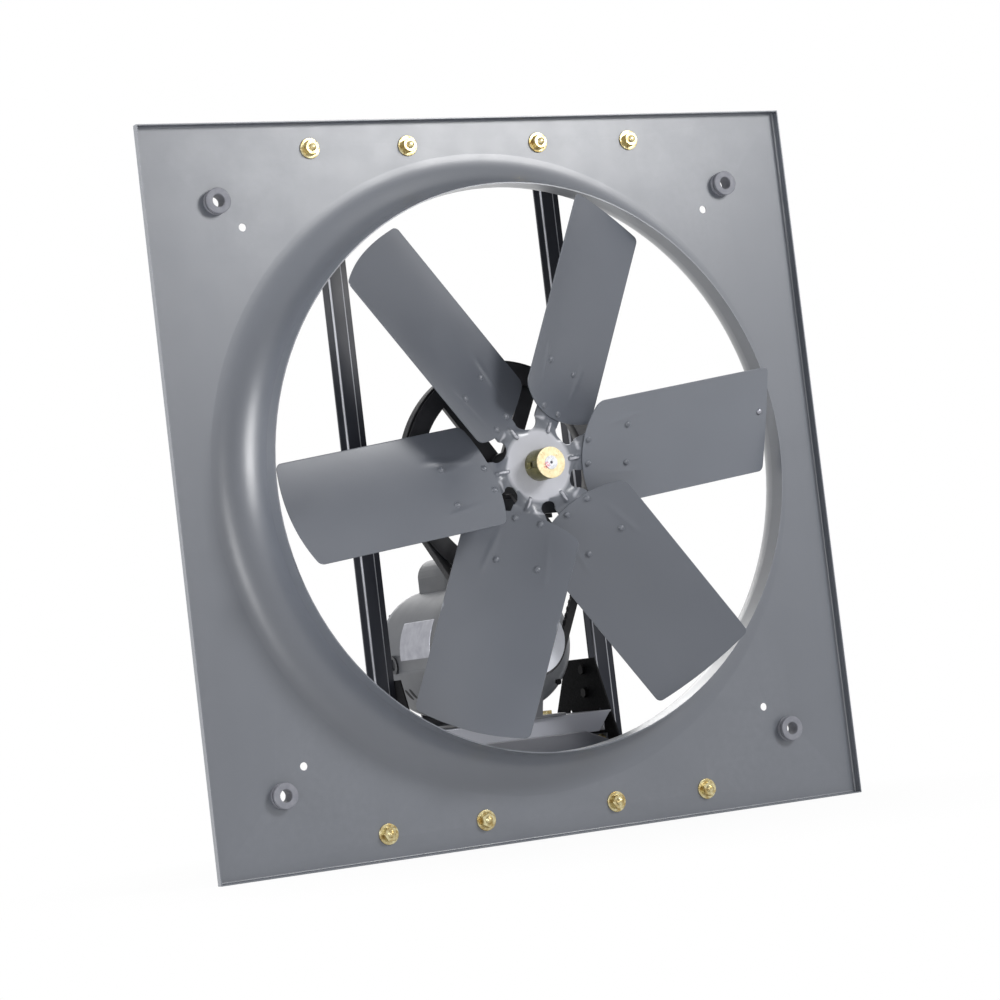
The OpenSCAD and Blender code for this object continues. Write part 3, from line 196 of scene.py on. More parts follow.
def srgb(code):
    """Linear colour of an sRGB hex code."""
    parts = [int(code[i:i + 2], 16) / 255 for i in (1, 3, 5)]
    linear = [c / 12.92 if c <= 0.04045 else ((c + 0.055) / 1.055) ** 2.4 for c in parts]
    return (*linear, 1.0)


def add_node(tree, kind, inputs=None, **settings):
    """A shader node with its settings and inputs; a socket as an input becomes a link."""
    node = tree.nodes.new(kind)
    for name, value in settings.items():
        setattr(node, name, value)
    for key, value in (inputs or {}).items():
        if isinstance(value, bpy.types.NodeSocket):
            tree.links.new(value, node.inputs[key])
        else:
            node.inputs[key].default_value = value
    return node


def smooth_step(value, low, high):
    """0 below low and 1 above high, with 3s^2 - 2s^3 between them."""
    share = np.clip((value - low) / (high - low), 0.0, 1.0)
    return share * share * (3 - 2 * share)


def plateau(value, rise, fall):
    """0, then 1 between a rise and a fall, each a smooth step over its two places, then 0."""
    return smooth_step(value, *rise) * (1 - smooth_step(value, *fall))


def unit(vectors):
    """Vectors brought to length 1."""
    return vectors / np.maximum(np.linalg.norm(vectors, axis=-1, keepdims=True), 1e-9)


def full_turn(count):
    """Angles in radians evenly round a full turn."""
    return np.linspace(0, 2 * np.pi, count, endpoint=False)


def on_circle(angles):
    """Points (cos a, sin a) of the unit circle."""
    return np.stack([np.cos(angles), np.sin(angles)], -1)


def points_of(x, y, z):
    """Points from three coordinates that are spread over a common grid."""
    return np.stack(np.broadcast_arrays(x, y, z), -1)


def rounded(corners, radii, steps):
    """A closed profile with each corner replaced by a parabola tangent to its two sides.

    The parabola runs from P + t a to P + t b, where a and b point along the sides and t is
    the radius over the tangent of half the corner's angle.
    """
    corners = np.asarray(corners, float)
    radii = np.broadcast_to(radii, len(corners))
    before = np.roll(corners, 1, axis=0) - corners
    after = np.roll(corners, -1, axis=0) - corners
    room = 0.49 * np.minimum(np.linalg.norm(before, axis=1), np.linalg.norm(after, axis=1))
    a, b = unit(before), unit(after)
    half_angle = np.arccos(np.clip((a * b).sum(1), -1, 1)) / 2
    reach = np.minimum(radii / np.maximum(np.tan(half_angle), 1e-6), room)[:, None, None]
    s = np.linspace(0, 1, steps)[None, :, None]
    curve = corners[:, None] + reach * ((1 - s) ** 2 * a[:, None] + s ** 2 * b[:, None])
    sharp = radii[:, None, None] <= 0
    return np.where(sharp, corners[:, None], curve).reshape(-1, 2)


def turned(profile, count, centre=(0.0, 0.0)):
    """A closed profile of (radius, y) turned about an axis along Y: x = r cos a, z = r sin a."""
    r, y = np.asarray(profile, float).T
    a = full_turn(count)[:, None]
    return points_of(centre[0] + r * np.cos(a), y, centre[1] + r * np.sin(a)), True, True


def grid_faces(rows, columns, wrap_rows, wrap_columns):
    """Quads between neighbouring points of a grid."""
    i = np.arange(rows if wrap_rows else rows - 1)[:, None]
    j = np.arange(columns if wrap_columns else columns - 1)[None, :]
    i2, j2 = (i + 1) % rows, (j + 1) % columns
    corners = (i * columns + j, i2 * columns + j, i2 * columns + j2, i * columns + j2)
    return np.stack(np.broadcast_arrays(*corners), -1).reshape(-1, 4)


def make_piece(name, patches, material, sharp, caps=(), sheets=()):
    """One mesh object from grids of points in millimetres.

    Each patch is (grid, wrap_rows, wrap_columns), each cap a closed loop of points and each
    sheet a list of points with its faces. Doubles are merged, faces turned outward, and edges
    over the sharp angle in degrees stay crisp.
    """
    points, faces, count = [], [], 0
    for grid, wrap_rows, wrap_columns in patches:
        points.append(grid.reshape(-1, 3))
        faces += (grid_faces(*grid.shape[:2], wrap_rows, wrap_columns) + count).tolist()
        count += grid.shape[0] * grid.shape[1]
    for loop in caps:
        points.append(loop)
        faces.append(list(range(count, count + len(loop))))
        count += len(loop)
    for sheet, sheet_faces in sheets:
        points.append(sheet)
        faces += [[count + corner for corner in face] for face in sheet_faces]
        count += len(sheet)
    mesh = bpy.data.meshes.new(name)
    mesh.from_pydata((np.concatenate(points) * MM).tolist(), [], faces)
    work = bmesh.new()
    work.from_mesh(mesh)
    bmesh.ops.remove_doubles(work, verts=work.verts, dist=0.002 * MM)
    bmesh.ops.dissolve_degenerate(work, dist=0.001 * MM, edges=work.edges)
    bmesh.ops.recalc_face_normals(work, faces=work.faces)
    work.to_mesh(mesh)
    work.free()
    mesh.shade_smooth()
    mesh.set_sharp_from_angle(angle=np.radians(sharp))
    mesh.materials.append(material)
    piece = bpy.data.objects.new(name, mesh)
    bpy.context.scene.collection.objects.link(piece)
    return piece


def stands_for(piece, body, *nodes):
    """A piece rides on a body and stands in for its CAD nodes, which it hides."""
    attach(piece, body)
    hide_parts(*nodes)


def extra(piece, body):
    """A piece that no CAD node has rides on a body."""
    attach(piece, body)


def round_edges(piece, width, angle, segments, harden):
    """Rounds a piece's edges over an angle in degrees, with a width in millimetres."""
    bevel = piece.modifiers.new("edges", "BEVEL")
    bevel.width = width * MM
    bevel.segments = segments
    bevel.limit_method = "ANGLE"
    bevel.angle_limit = np.radians(angle)
    bevel.harden_normals = harden


def weld(node):
    """Joins a CAD node's triangles, so that it shades as one surface."""
    joined = NODES[node].modifiers.new("weld", "WELD")
    joined.merge_threshold = 0.01 * MM


def thicken(sheet, thickness, edge, even=True):
    """Turns a sheet's faces to -Y, gives it a wall behind them and rounds its edges."""
    if sum(face.normal.y * face.area for face in sheet.data.polygons) > 0:
        sheet.data.flip_normals()
    wall = sheet.modifiers.new("wall", "SOLIDIFY")
    wall.thickness = thickness * MM
    wall.offset = -1.0
    wall.use_even_offset = even
    round_edges(sheet, edge, angle=50, segments=2, harden=False)


# Materials

class Look:
    """A new material with its Principled shader and the object's own coordinates.

    Grains, places and depths are given in millimetres. A grain that is finer than a pixel on the
    real piece, such as orange peel, is drawn 0.5 to 1.5 mm wide so that it shows.
    """

    def __init__(self, name, **constants):
        self.material = bpy.data.materials.new(name)
        self.material.use_nodes = True
        self.tree = self.material.node_tree
        self.shader = self.tree.nodes["Principled BSDF"]
        self.place = add_node(self.tree, "ShaderNodeTexCoord").outputs["Object"]
        for key, value in constants.items():
            self.shader.inputs[key.replace("_", " ")].default_value = value

    def add(self, kind, inputs=None, **settings):
        """A node in this material."""
        return add_node(self.tree, kind, inputs, **settings)

    def math(self, operation, first, second):
        """Two values joined by an operation."""
        return self.add("ShaderNodeMath", {0: first, 1: second}, operation=operation).outputs[0]

    def mix(self, factor, first, second):
        """Mixes two colours."""
        return self.add("ShaderNodeMix", {0: factor, 6: first, 7: second}, data_type="RGBA").outputs[2]

    def spread(self, value, low, high, to_low, to_high):
        """Carries a value from one range to another, held at its ends."""
        return self.add("ShaderNodeMapRange", {"Value": value, "From Min": low, "From Max": high,
                                               "To Min": to_low, "To Max": to_high}).outputs["Result"]

    def along(self, axis):
        """One of the object's coordinates."""
        return self.add("ShaderNodeSeparateXYZ", {0: self.place}).outputs[axis]

    def off(self, value, place):
        """Distance of a coordinate from a place."""
        return self.math("ABSOLUTE", self.math("SUBTRACT", value, place * MM), 0.0)

    def ramp(self, value, start, end):
        """0 up to a start, 1 from an end on."""
        return self.spread(value, start * MM, end * MM, 0.0, 1.0)

    def near(self, centre, inner, outer):
        """1 within an inner distance of a point, fading to 0 at an outer one."""
        away = self.add("ShaderNodeVectorMath", {0: self.place, 1: tuple(c * MM for c in centre)},
                        operation="DISTANCE").outputs["Value"]
        return self.ramp(away, outer, inner)

    def noise(self, grain, detail, stretch=None):
        """Noise with grains of a size."""
        place = self.place
        if stretch:
            place = self.add("ShaderNodeMapping", {"Vector": place, "Scale": stretch}).outputs[0]
        return self.add("ShaderNodeTexNoise",
                        {"Vector": place, "Scale": 1 / (grain * MM), "Detail": detail}).outputs["Fac"]

    def patches(self, grain, detail, low=0.0, high=1.0, edge=0.3, stretch=None):
        """Noise whose middle range is spread from low to high."""
        return self.spread(self.noise(grain, detail, stretch), edge, 1 - edge, low, high)

    def drift(self, first, second, grain, detail, edge=0.3):
        """Two hex colours that drift into each other in patches."""
        return self.mix(self.patches(grain, detail, edge=edge), srgb(first), srgb(second))

    def dab(self, centre, inner, outer, grain, least):
        """Blotches of paint round a point, from nothing at the noise's least value to full."""
        detail, full = 3.0, 0.55
        blotch = self.spread(self.noise(grain, detail), least, full, 0.0, 1.0)
        return self.math("MULTIPLY", self.near(centre, inner, outer), blotch)

    def paint(self, key, value):
        """Links a value to the shader."""
        self.tree.links.new(value, self.shader.inputs[key])

    def polish(self, low, high, grain, detail, stretch=None):
        """Roughness that varies between two values in patches."""
        self.paint("Roughness", self.patches(grain, detail, low, high, stretch=stretch))

    def relief(self, depth, grain, detail, stretch=None):
        """Fine bumps of a depth."""
        bump = self.add("ShaderNodeBump", {"Height": self.noise(grain, detail, stretch),
                                           "Distance": depth * MM, "Strength": 1.0})
        self.paint("Normal", bump.outputs["Normal"])


def enamel(name, base, dark, rough, coat=0.3, wear=0.6):
    """Sprayed enamel on sheet steel: slow colour drift, fine orange peel and brighter edges from wear."""
    look = Look(name, Metallic=0.0, Coat_Weight=coat, Coat_Roughness=0.32)
    point = look.add("ShaderNodeNewGeometry").outputs["Pointiness"]
    rub = look.math("MULTIPLY", look.spread(point, 0.53, 0.6, 0.0, wear), look.noise(grain=11.1, detail=4.0))
    look.paint("Base Color", look.mix(rub, look.drift(dark, base, grain=286.0, detail=2.0), srgb("#a9acb2")))
    look.polish(rough - 0.05, rough + 0.06, grain=45.5, detail=4.0)
    look.relief(0.05, grain=1.11, detail=2.0)
    return look.material


def strut_paint(name, base, dark):
    """Charcoal enamel with painted highlights along the two bends of the crown, broken up by noise."""
    look = Look(name, Metallic=0.0, Specular_IOR_Level=0.35)
    from_middle = look.off(look.off(look.along("X"), 0.0), STRUT_X)
    glint_at, glint_edge, glint_depth = CROWN_HALF - 0.5, (1.6, 0.7), (STRUT_FRONT + 0.2, STRUT_FRONT - 1.4)
    # A pale painted highlight along each bend of the raised crown.
    bend = look.math("MULTIPLY", look.ramp(look.off(from_middle, glint_at), *glint_edge),
                     look.ramp(look.along("Y"), *glint_depth))
    painted_glint = look.math("MULTIPLY", bend, look.spread(look.noise(grain=71.4, detail=4.0), 0.3, 0.55, 0.6, 1.0))
    look.paint("Base Color", look.mix(painted_glint, look.drift(dark, base, grain=286.0, detail=2.0), srgb("#c8cad0")))
    look.polish(0.3, 0.4, grain=45.5, detail=4.0)
    look.relief(0.05, grain=1.11, detail=2.0)
    return look.material


def hub_paint(name, base, dark, star, bright):
    """Wheel enamel whose flat star and ribs round the hub are painted lighter than the arms: a painted sheen
    where the lamps catch them.
    """
    look = Look(name, Metallic=0.0, Coat_Weight=0.3, Coat_Roughness=0.2)
    depth, middle = look.along("Y"), (0.0, SPIDER_FRONT, AXIS_Z)
    star_edge, star_depth = (47.0, 53.0), (1.1, 0.3)
    rib_edge, rib_depth = (66.0, 70.0), (SPIDER_FRONT - 1.8, SPIDER_FRONT - 3.2)
    flat = look.math("MULTIPLY", look.ramp(look.off(depth, SPIDER_FRONT), *star_depth),
                     look.near(middle, *star_edge))
    raised = look.math("MULTIPLY", look.ramp(depth, *rib_depth), look.near(middle, *rib_edge))
    # The paler colours of the star and the rib tops are painted sheen.
    light = look.mix(look.noise(grain=25.0, detail=3.0), srgb(star), srgb(bright))
    look.paint("Base Color", look.mix(look.math("MAXIMUM", flat, raised),
                                      look.drift(base, dark, grain=33.3, detail=2.0), light))
    look.polish(0.31, 0.42, grain=45.5, detail=4.0)
    look.relief(0.05, grain=1.11, detail=2.0)
    return look.material


def zinc(name, base, light):
    """Yellow passivated zinc plate: gold with paler drifts."""
    look = Look(name, Metallic=0.9)
    look.paint("Base Color", look.drift(base, light, grain=6.25, detail=2.0, edge=0.35))
    look.polish(0.22, 0.38, grain=1.43, detail=3.0)
    look.relief(0.03, grain=0.667, detail=2.0)
    return look.material


def hub_plate(name):
    """The bushing's plate: one zinc finish, pale gold on the face as painted light and olive down its side as
    painted shade, with a dab of red paint by the shaft.
    """
    look = Look(name, Metallic=0.75)
    # The face and the side are lit and shaded copies of one finish: painted light and painted shade.
    side = look.ramp(look.along("Y"), BUSHING_FRONT + 0.9, BUSHING_FRONT + 2.4)
    gold = look.drift("#cdbd94", "#ddd0ae", grain=6.25, detail=2.0, edge=0.35)
    olive = look.drift("#6d6a45", "#7d794f", grain=6.25, detail=2.0, edge=0.35)
    dab = look.dab((-8.5, BUSHING_FRONT, AXIS_Z - 4.0), 1.5, 5.0, grain=2.38, least=0.4)
    look.paint("Base Color", look.mix(dab, look.mix(side, gold, olive), srgb("#b8344e")))
    look.polish(0.26, 0.42, grain=2.0, detail=3.0)
    look.relief(0.03, grain=0.667, detail=2.0)
    return look.material


def shaft_end(name):
    """Ground steel with a dark disc of painted shade in its centre-drilled hole and the same dab of red paint
    on its end.
    """
    look = Look(name, Metallic=1.0)
    end = BUSHING_FRONT - 1.0
    bare = look.mix(look.noise(grain=11.1, detail=3.0), srgb("#b4b6bb"), srgb("#d6d7da"))
    dab = look.dab((-7.0, end, AXIS_Z - 3.0), 2.0, 5.0, grain=1.92, least=0.42)
    # A dark disc at the middle of the end: painted shade in the centre hole.
    centre_hole_shade = look.near((0.0, end, AXIS_Z), 1.6, 2.6)
    look.paint("Base Color", look.mix(centre_hole_shade, look.mix(dab, bare, srgb("#c23a5c")), srgb("#4a4b50")))
    look.polish(0.22, 0.36, grain=3.33, detail=3.0)
    look.relief(0.03, grain=1.11, detail=2.0)
    return look.material


def bright_metal(name, base, dark, rough):
    """Turned metal with fine rings of varied polish."""
    look = Look(name, Metallic=1.0)
    look.paint("Base Color", look.drift(dark, base, grain=16.7, detail=3.0))
    look.polish(rough - 0.08, rough + 0.1, grain=11.1, detail=3.0, stretch=(1, 12, 1))
    look.relief(0.03, grain=3.33, detail=2.0, stretch=(1, 8, 1))
    return look.material


def casting(name, base, dark, rough=0.42):
    """Painted casting: a sandy skin under paint."""
    look = Look(name, Metallic=0.0, Coat_Weight=0.2, Coat_Roughness=0.3)
    look.paint("Base Color", look.drift(dark, base, grain=25.0, detail=4.0))
    look.polish(rough - 0.06, rough + 0.1, grain=6.67, detail=3.0)
    look.relief(0.2, grain=1.54, detail=5.0)
    return look.material


def matt_skin(name, base, dark, rough=0.6, **constants):
    """Moulded rubber or plastic, or a near-black skin that paints shade: a soft sheenless skin with a fine
    bloom.
    """
    look = Look(name, Metallic=0.0, **constants)
    look.paint("Base Color", look.drift(dark, base, grain=8.33, detail=4.0))
    look.polish(rough - 0.1, rough + 0.1, grain=2.5, detail=3.0)
    look.relief(0.04, grain=0.556, detail=2.0)
    return look.material


PANEL = enamel("Panel grey enamel", "#63676f", "#5d6169", 0.4, coat=1.0, wear=0.12)
FAN = enamel("Fan wheel grey enamel", "#62666e", "#595d65", 0.36)
# Lighter and darker copies of the fan enamel: painted light on blade 1 and painted shade on blades 3 and 5,
# for how the lamps fall on them.
FAN_PAINTED_LIGHT = enamel("Fan wheel enamel painted lighter as light", "#72767e", "#6a6e76", 0.36)
FAN_PAINTED_SHADE = enamel("Fan wheel enamel painted darker as shade", "#5a5e66", "#51555d", 0.36)
BLADE_PAINTS_LIT_AND_SHADED = (FAN_PAINTED_LIGHT, FAN, FAN_PAINTED_SHADE, FAN, FAN_PAINTED_SHADE, FAN)
HUB_PAINT = hub_paint("Hub grey enamel with painted sheen", "#62666e", "#5d6169", "#b0b1b8", "#bdbec5")
FRAME = enamel("Drive frame charcoal enamel", "#3a3c44", "#303239", 0.34, coat=0.5)
# The motor base is painted far lighter than the frame enamel: painted light, lifting it out of the wheel's
# shade.
MOTOR_BASE_PAINTED_LIGHT = enamel("Motor base enamel painted lighter as light", "#a8aab3", "#9a9ca5", 0.36, coat=0.5)
SHELF = enamel("Lower shelf grey enamel", "#565860", "#4b4d54", 0.36, coat=0.5)
# The gussets are painted near black: painted shade on faces turned away from the lamps.
GUSSET_PAINTED_SHADE = matt_skin("Gusset painted shade black", "#1a1a1c", "#121214", 0.7, Specular_IOR_Level=0.15)
STRUT = strut_paint("Strut charcoal enamel with painted highlights", "#34363e", "#2b2d34")
MOTOR = enamel("Motor grey enamel", "#595b5f", "#515357", 0.48, coat=0.0, wear=0.0)
COVER = enamel("Capacitor cover enamel", "#3c3e42", "#34363a", 0.45, coat=0.0)
BELL = casting("End bell grey casting", "#7c7e82", "#6a6c70", 0.4)
# The pulley's own light grey, painted paler still: partly its colour, partly painted light lifting it out of
# shade.
PULLEY_PAINTED_LIGHT = casting("Pulley casting painted lighter as light", "#e6e8ef", "#d8dae2", 0.4)
CASTING = casting("Sheave black iron", "#2a2a2e", "#1c1c20")
HOUSING = casting("Bearing housing iron", "#3d3f45", "#303238")
ZINC = zinc("Yellow zinc plate", "#a08a58", "#cdc49c")
HUB_ZINC = hub_plate("Hub bushing plate with painted light and shade")
GROMMET = matt_skin("Grommet grey rubber", "#8a8b92", "#7c7d85")
BELT = matt_skin("Belt black rubber", "#222226", "#151518")
STEEL = bright_metal("Turned steel", "#b9bbc0", "#8f9298", 0.3)
SHAFT = shaft_end("Ground shaft steel")
SCREW = bright_metal("Black oxide screw", "#2c2c2e", "#1b1b1d", 0.4)
PLATE = bright_metal("Bare aluminium plate", "#a3a4ab", "#8f9098", 0.4)
COPPER = bright_metal("Enamelled copper winding", "#a9602f", "#8a4a22", 0.35)
PLASTIC = matt_skin("Black moulded plastic", "#2b2d31", "#222428", 0.5)
SHADOW = matt_skin("Dark slot", "#17171a", "#101013", 0.8)

LOOKS = {"panel_paint": PANEL, "frame_paint": FRAME, "housing_iron": HOUSING, "zinc_yellow": ZINC,
         "isolator_rubber": GROMMET, "belt_rubber": BELT, "steel": STEEL, "fan_paint": FAN,
         "sheave_iron": CASTING, "motor_paint": MOTOR, "cast_aluminium": BELL, "winding_copper": COPPER,
         "black_plastic": PLASTIC, "plate_aluminium": PLATE}
OWN_LOOKS = {"hub_bushing": HUB_ZINC, "hub_set_screws": SCREW, "fan_shaft": SHAFT, "motor_base": MOTOR_BASE_PAINTED_LIGHT,
             "lower_shelf": SHELF, "right_gusset": GUSSET_PAINTED_SHADE, "left_gusset": GUSSET_PAINTED_SHADE, "motor_pulley": PULLEY_PAINTED_LIGHT,
             "sheave_set_screw": SCREW, "pulley_set_screw": SCREW, "gusset_bolts": SCREW,
             "motor_through_bolts": SCREW, "capacitor_cover": COVER}
for node, slot in SLOTS.items():
    mesh = NODES[node].data
    mesh.materials.clear()
    mesh.materials.append(OWN_LOOKS.get(node, LOOKS[slot]))


# Fan wheel

def in_wheel(points, angle):
    """Turns points (outward, y, sideways) about the fan's axis by an angle in degrees."""
    a = np.radians(angle)
    x, y, z = points[..., 0], points[..., 1], points[..., 2]
    return np.stack([x * np.cos(a) - z * np.sin(a), y, AXIS_Z + x * np.sin(a) + z * np.cos(a)], -1)


def at_blade(points, angle):
    """Carries points (along, depth, across) of a blade's own frame to the fan.

    They turn by the pitch about the blade's length, move to the chord plane and turn by the
    blade's angle about the fan's axis, counted from +X towards +Z.
    """
    u, d, w = points[..., 0], points[..., 1], points[..., 2]
    y = d * np.cos(BLADE_PITCH) - w * np.sin(BLADE_PITCH) + CHORD_PLANE
    z = d * np.sin(BLADE_PITCH) + w * np.cos(BLADE_PITCH)
    return in_wheel(np.stack([u, y, z], -1), angle)


def camber(w, depth=0.0):
    """Depth of the cambered sheet: a circle of the blade's radius that rises to the sag."""
    return BLADE_SAG - BLADE_RADIUS + np.sqrt((BLADE_RADIUS + depth) ** 2 - w ** 2)


def arm_half_width(u):
    """Half the width of a spider arm, growing evenly along it."""
    return ARM_START_HALF + (ARM_END_HALF - ARM_START_HALF) * (u - ARM_START) / (ARM_END - ARM_START)


def corner_cut(gap, radius):
    """How far a quarter circle at an end draws the side in: c - sqrt(c^2 - (c - gap)^2)."""
    return radius - np.sqrt(np.maximum(radius ** 2 - np.maximum(radius - gap, 0) ** 2, 0))


def blade_grid():
    """Front face of a blade between its root arc and its tip arc.

    Its rows crowd towards the two rounded ends and its columns towards the two edges. Two
    shallow creases of height h exp(-(distance / half width)^2) stand up in front of the edges
    of the spider arm behind.
    """
    span = 300.0
    ends = np.array([0, 0.15, 0.6, 1.4, 2.6, 4.2, 6.2, 8.6, 12.0, 16.0])
    along = np.concatenate([ends, np.linspace(20, span - 20, 48), span - ends[::-1]]) / span
    across = np.linspace(-1, 1, 61)
    across = np.sign(across) * (1 - (1 - np.abs(across)) ** 1.15)
    t, s = np.meshgrid(along, across, indexing="ij")
    w = s * (HALF_CHORD - corner_cut(t * span, ROOT_CORNER) - corner_cut((1 - t) * span, TIP_CORNER))
    root = ROOT_R + ROOT_ARC - np.sqrt(ROOT_ARC ** 2 - w ** 2)
    tip = np.sqrt(TIP_R ** 2 - w ** 2)
    u = root + t * (tip - root)
    w = w - CHORD_LEAD
    ridge = np.abs(w) - arm_half_width(u) - CREASE_OUT
    crease = CREASE_H * plateau(u, CREASE_RISE, CREASE_FALL) * np.exp(-(ridge / CREASE_HALF) ** 2)
    return np.stack([u, camber(w) - crease, w], -1)


def build_blades():
    """Six pressed blades, each a sheet with rounded edges, in plain, lighter or darker copies of one enamel:
    painted light and painted shade blade by blade.
    """
    face = blade_grid()
    for number, (angle, finish) in enumerate(zip(BLADE_ANGLES, BLADE_PAINTS_LIT_AND_SHADED), 1):
        blade = make_piece(f"fan_blade_{number}", [(at_blade(face, angle), False, False)], finish, sharp=60)
        thicken(blade, BLADE_T, BLADE_EDGE)
        stands_for(blade, "fan_wheel", f"blade_{number}")


def hub_form(p, q):
    """The spider's front face over the points (p, q) of its flat plan.

    Seen from the nearest arm the point is (u, w); the pitch there is the blade's pitch times a
    smooth step of u, held back by the distance from the arm's own sector. As it turns the face
    takes the blade's camber, and a rib of height h exp(-(across / half width)^4) rises from it.
    """
    radius, polar = np.hypot(p, q), np.degrees(np.arctan2(q, p))
    arm = np.round(polar / ARM_STEP) * ARM_STEP
    off = np.radians(polar - arm)
    u, w = radius * np.cos(off), radius * np.sin(off)
    start = BEND_START + BEND_SKEW_SHARE * np.clip(w, -ARM_START_HALF, ARM_START_HALF)
    from_next = ARM_STEP / 2 - np.abs(np.degrees(off))
    turn = smooth_step(u, start, start + BEND_LEN) * smooth_step(from_next, 0, SECTOR_FADE)
    drop = turn * (camber(w, BLADE_T) - BLADE_SAG - BLADE_T)
    pitch = BLADE_PITCH * turn
    y = SPIDER_FRONT + drop * np.cos(pitch) - w * np.sin(pitch)
    shift = (BLADE_SAG + BLADE_T) * np.sin(BLADE_PITCH) * turn
    across = shift + drop * np.sin(pitch) + w * np.cos(pitch)
    rib = RIB_H * np.exp(-(across / RIB_HALF) ** 4) * plateau(u, RIB_RISE, RIB_FALL)
    formed = np.stack([u, y - rib * np.cos(pitch), across - rib * np.sin(pitch)], -1)
    return in_wheel(formed, arm + BLADE_START)


def plan_outline():
    """Outline of the spider's flat plan, arm by arm, in millimetres.

    Half an arm runs along its end, round its corner, down its side to the round notch and along
    the notch to the middle between two arms; its mirror image leads up to it.
    """
    flat = arm_half_width(ARM_END) - ARM_CORNER
    tip = points_of(ARM_REACH, np.linspace(0, flat, 9), 0.0)[:, :2]
    bend = (ARM_END, flat) + ARM_CORNER * on_circle(np.linspace(0, np.pi / 2, 8)[1:])
    side_u = np.linspace(ARM_END, ARM_SIDE_END, 40)[1:]
    side = np.stack([side_u, arm_half_width(side_u)], -1)
    notch = (NOTCH_AT * on_circle(np.radians(ARM_STEP / 2))
             + NOTCH_R * on_circle(np.radians(np.linspace(*NOTCH_ARC, 24))[1:]))
    half = np.concatenate([tip, bend, side, notch])
    arm = np.concatenate([(half[1:] * [1, -1])[::-1][1:], half])
    a = np.radians(ARM_STEP * np.arange(6))[:, None]
    p, q = arm[:, 0], arm[:, 1]
    return np.stack([p * np.cos(a) - q * np.sin(a), p * np.sin(a) + q * np.cos(a)], -1).reshape(-1, 2)


def build_spider():
    """The spider's face: its flat plan filled with rings of points, then formed point by point.

    Each ring is turned a little against the last, so that the triangles between them stay even.
    """
    outline = plan_outline()
    inside = [SPIDER_NECK * on_circle(full_turn(72))]
    ring_gap, point_gap, border_gap = 1.9, 2.1, 1.4
    for radius in np.arange(SPIDER_NECK + 2.0, ARM_REACH - 0.5, ring_gap):
        count = int(2 * np.pi * radius / point_gap)
        stagger = 0.5 * (radius % 2)
        ring = radius * on_circle((np.arange(count) + stagger) * 2 * np.pi / count)
        away = np.min(np.linalg.norm(ring[:, None] - outline[None, ::2], axis=2), axis=1)
        inside.append(ring[away > border_gap])
    plan = [Vector(spot) for spot in np.concatenate([outline] + inside)]
    loop = list(range(len(outline)))
    spots, _, faces = geometry.delaunay_2d_cdt(plan, [], [loop], 1, 1e-4)[:3]
    plan = np.array([tuple(spot) for spot in spots])
    faces = [face for face in faces if np.linalg.norm(plan[list(face)].mean(0)) > SPIDER_NECK]
    sheet = (hub_form(plan[:, 0], plan[:, 1]), faces)
    spider = make_piece("fan_spider", [], HUB_PAINT, sharp=60, sheets=[sheet])
    thicken(spider, SPIDER_T, SPIDER_EDGE, even=False)
    stands_for(spider, "fan_wheel", "spider_hub")


def dome_rivets(name, places, grip, material, node):
    """Rivets with a domed head, r = R cos t and height = h sin t, and a flat set tail behind.

    Each stands square to the cambered blade: it leans by the angle whose sine is its place
    across over the blade's radius.
    """
    t = np.linspace(0, np.pi / 2, 7)
    head = np.stack([RIVET_HEAD_R * np.cos(t), -RIVET_HEAD_H * np.sin(t)], -1)
    end, end_edge, root_edge = grip + RIVET_TAIL_LEN, 0.8, 0.3
    tail = rounded([(0, end), (RIVET_TAIL_R, end), (RIVET_TAIL_R, grip), (RIVET_R, grip), (RIVET_R, 0)],
                   [0, end_edge, root_edge, 0, 0], 4)
    rivet = turned(np.concatenate([head[::-1], tail[::-1]]), 20)[0]
    x, d, c = rivet[..., 0], rivet[..., 1] + BLADE_RADIUS, rivet[..., 2]
    patches = []
    for angle, u, w in places:
        lean = np.arcsin(w / BLADE_RADIUS)
        depth = d * np.cos(lean) - c * np.sin(lean) + BLADE_SAG - BLADE_RADIUS
        local = np.stack([x + u, depth, d * np.sin(lean) + c * np.cos(lean)], -1)
        patches.append((at_blade(local, angle), True, False))
    stands_for(make_piece(name, patches, material, sharp=50), "fan_wheel", node)


build_blades()
build_spider()
dome_rivets("wheel_rivets", [(angle, *spot) for angle in BLADE_ANGLES for spot in RIVETS],
            BLADE_T + SPIDER_T, FAN, "blade_rivets")
dome_rivets("balance_weight_rivet", [(BLADE_ANGLES[0], *BALANCE_RIVET)], BLADE_T, PLATE, "balance_rivet")


# Panel fasteners and isolators

def at_bolts():
    """Centres of the eight panel bolts."""
    return [(side * STRUT_X + end * BOLT_SPREAD, row * BOLT_ROW)
            for row in (1, -1) for side in (-1, 1) for end in (-1, 1)]


def hexagon(front, back, centre, turn, chamfer_front=True, bore=0.0):
    """A hexagon along Y with its corners turned off at 30 degrees.

    The radius is the smaller of half the width over cos(angle from a flat) and a cone that
    opens from the chamfer circle.
    """
    a = full_turn(72)[:, None] + turn
    flat = (a - turn + np.pi / 6) % (np.pi / 3) - np.pi / 6
    depth = np.array([0.0, 0.0, 0.15, 0.35, 0.6, 0.9, 1.3])
    y = np.concatenate([front + depth, back - depth[::-1]])[None, :]
    chamfer_share, slope = 0.985, np.tan(np.radians(30))
    chamfer_r = chamfer_share * HEX_FLATS / 2
    cone = chamfer_r + (back - y) / slope
    if chamfer_front:
        cone = np.minimum(cone, chamfer_r + (y - front) / slope)
    r = np.minimum(HEX_FLATS / 2 / np.cos(flat), cone)
    r[:, [0, -1]] = bore
    return points_of(centre[0] + r * np.cos(a), y, centre[1] + r * np.sin(a)), True, bore > 0


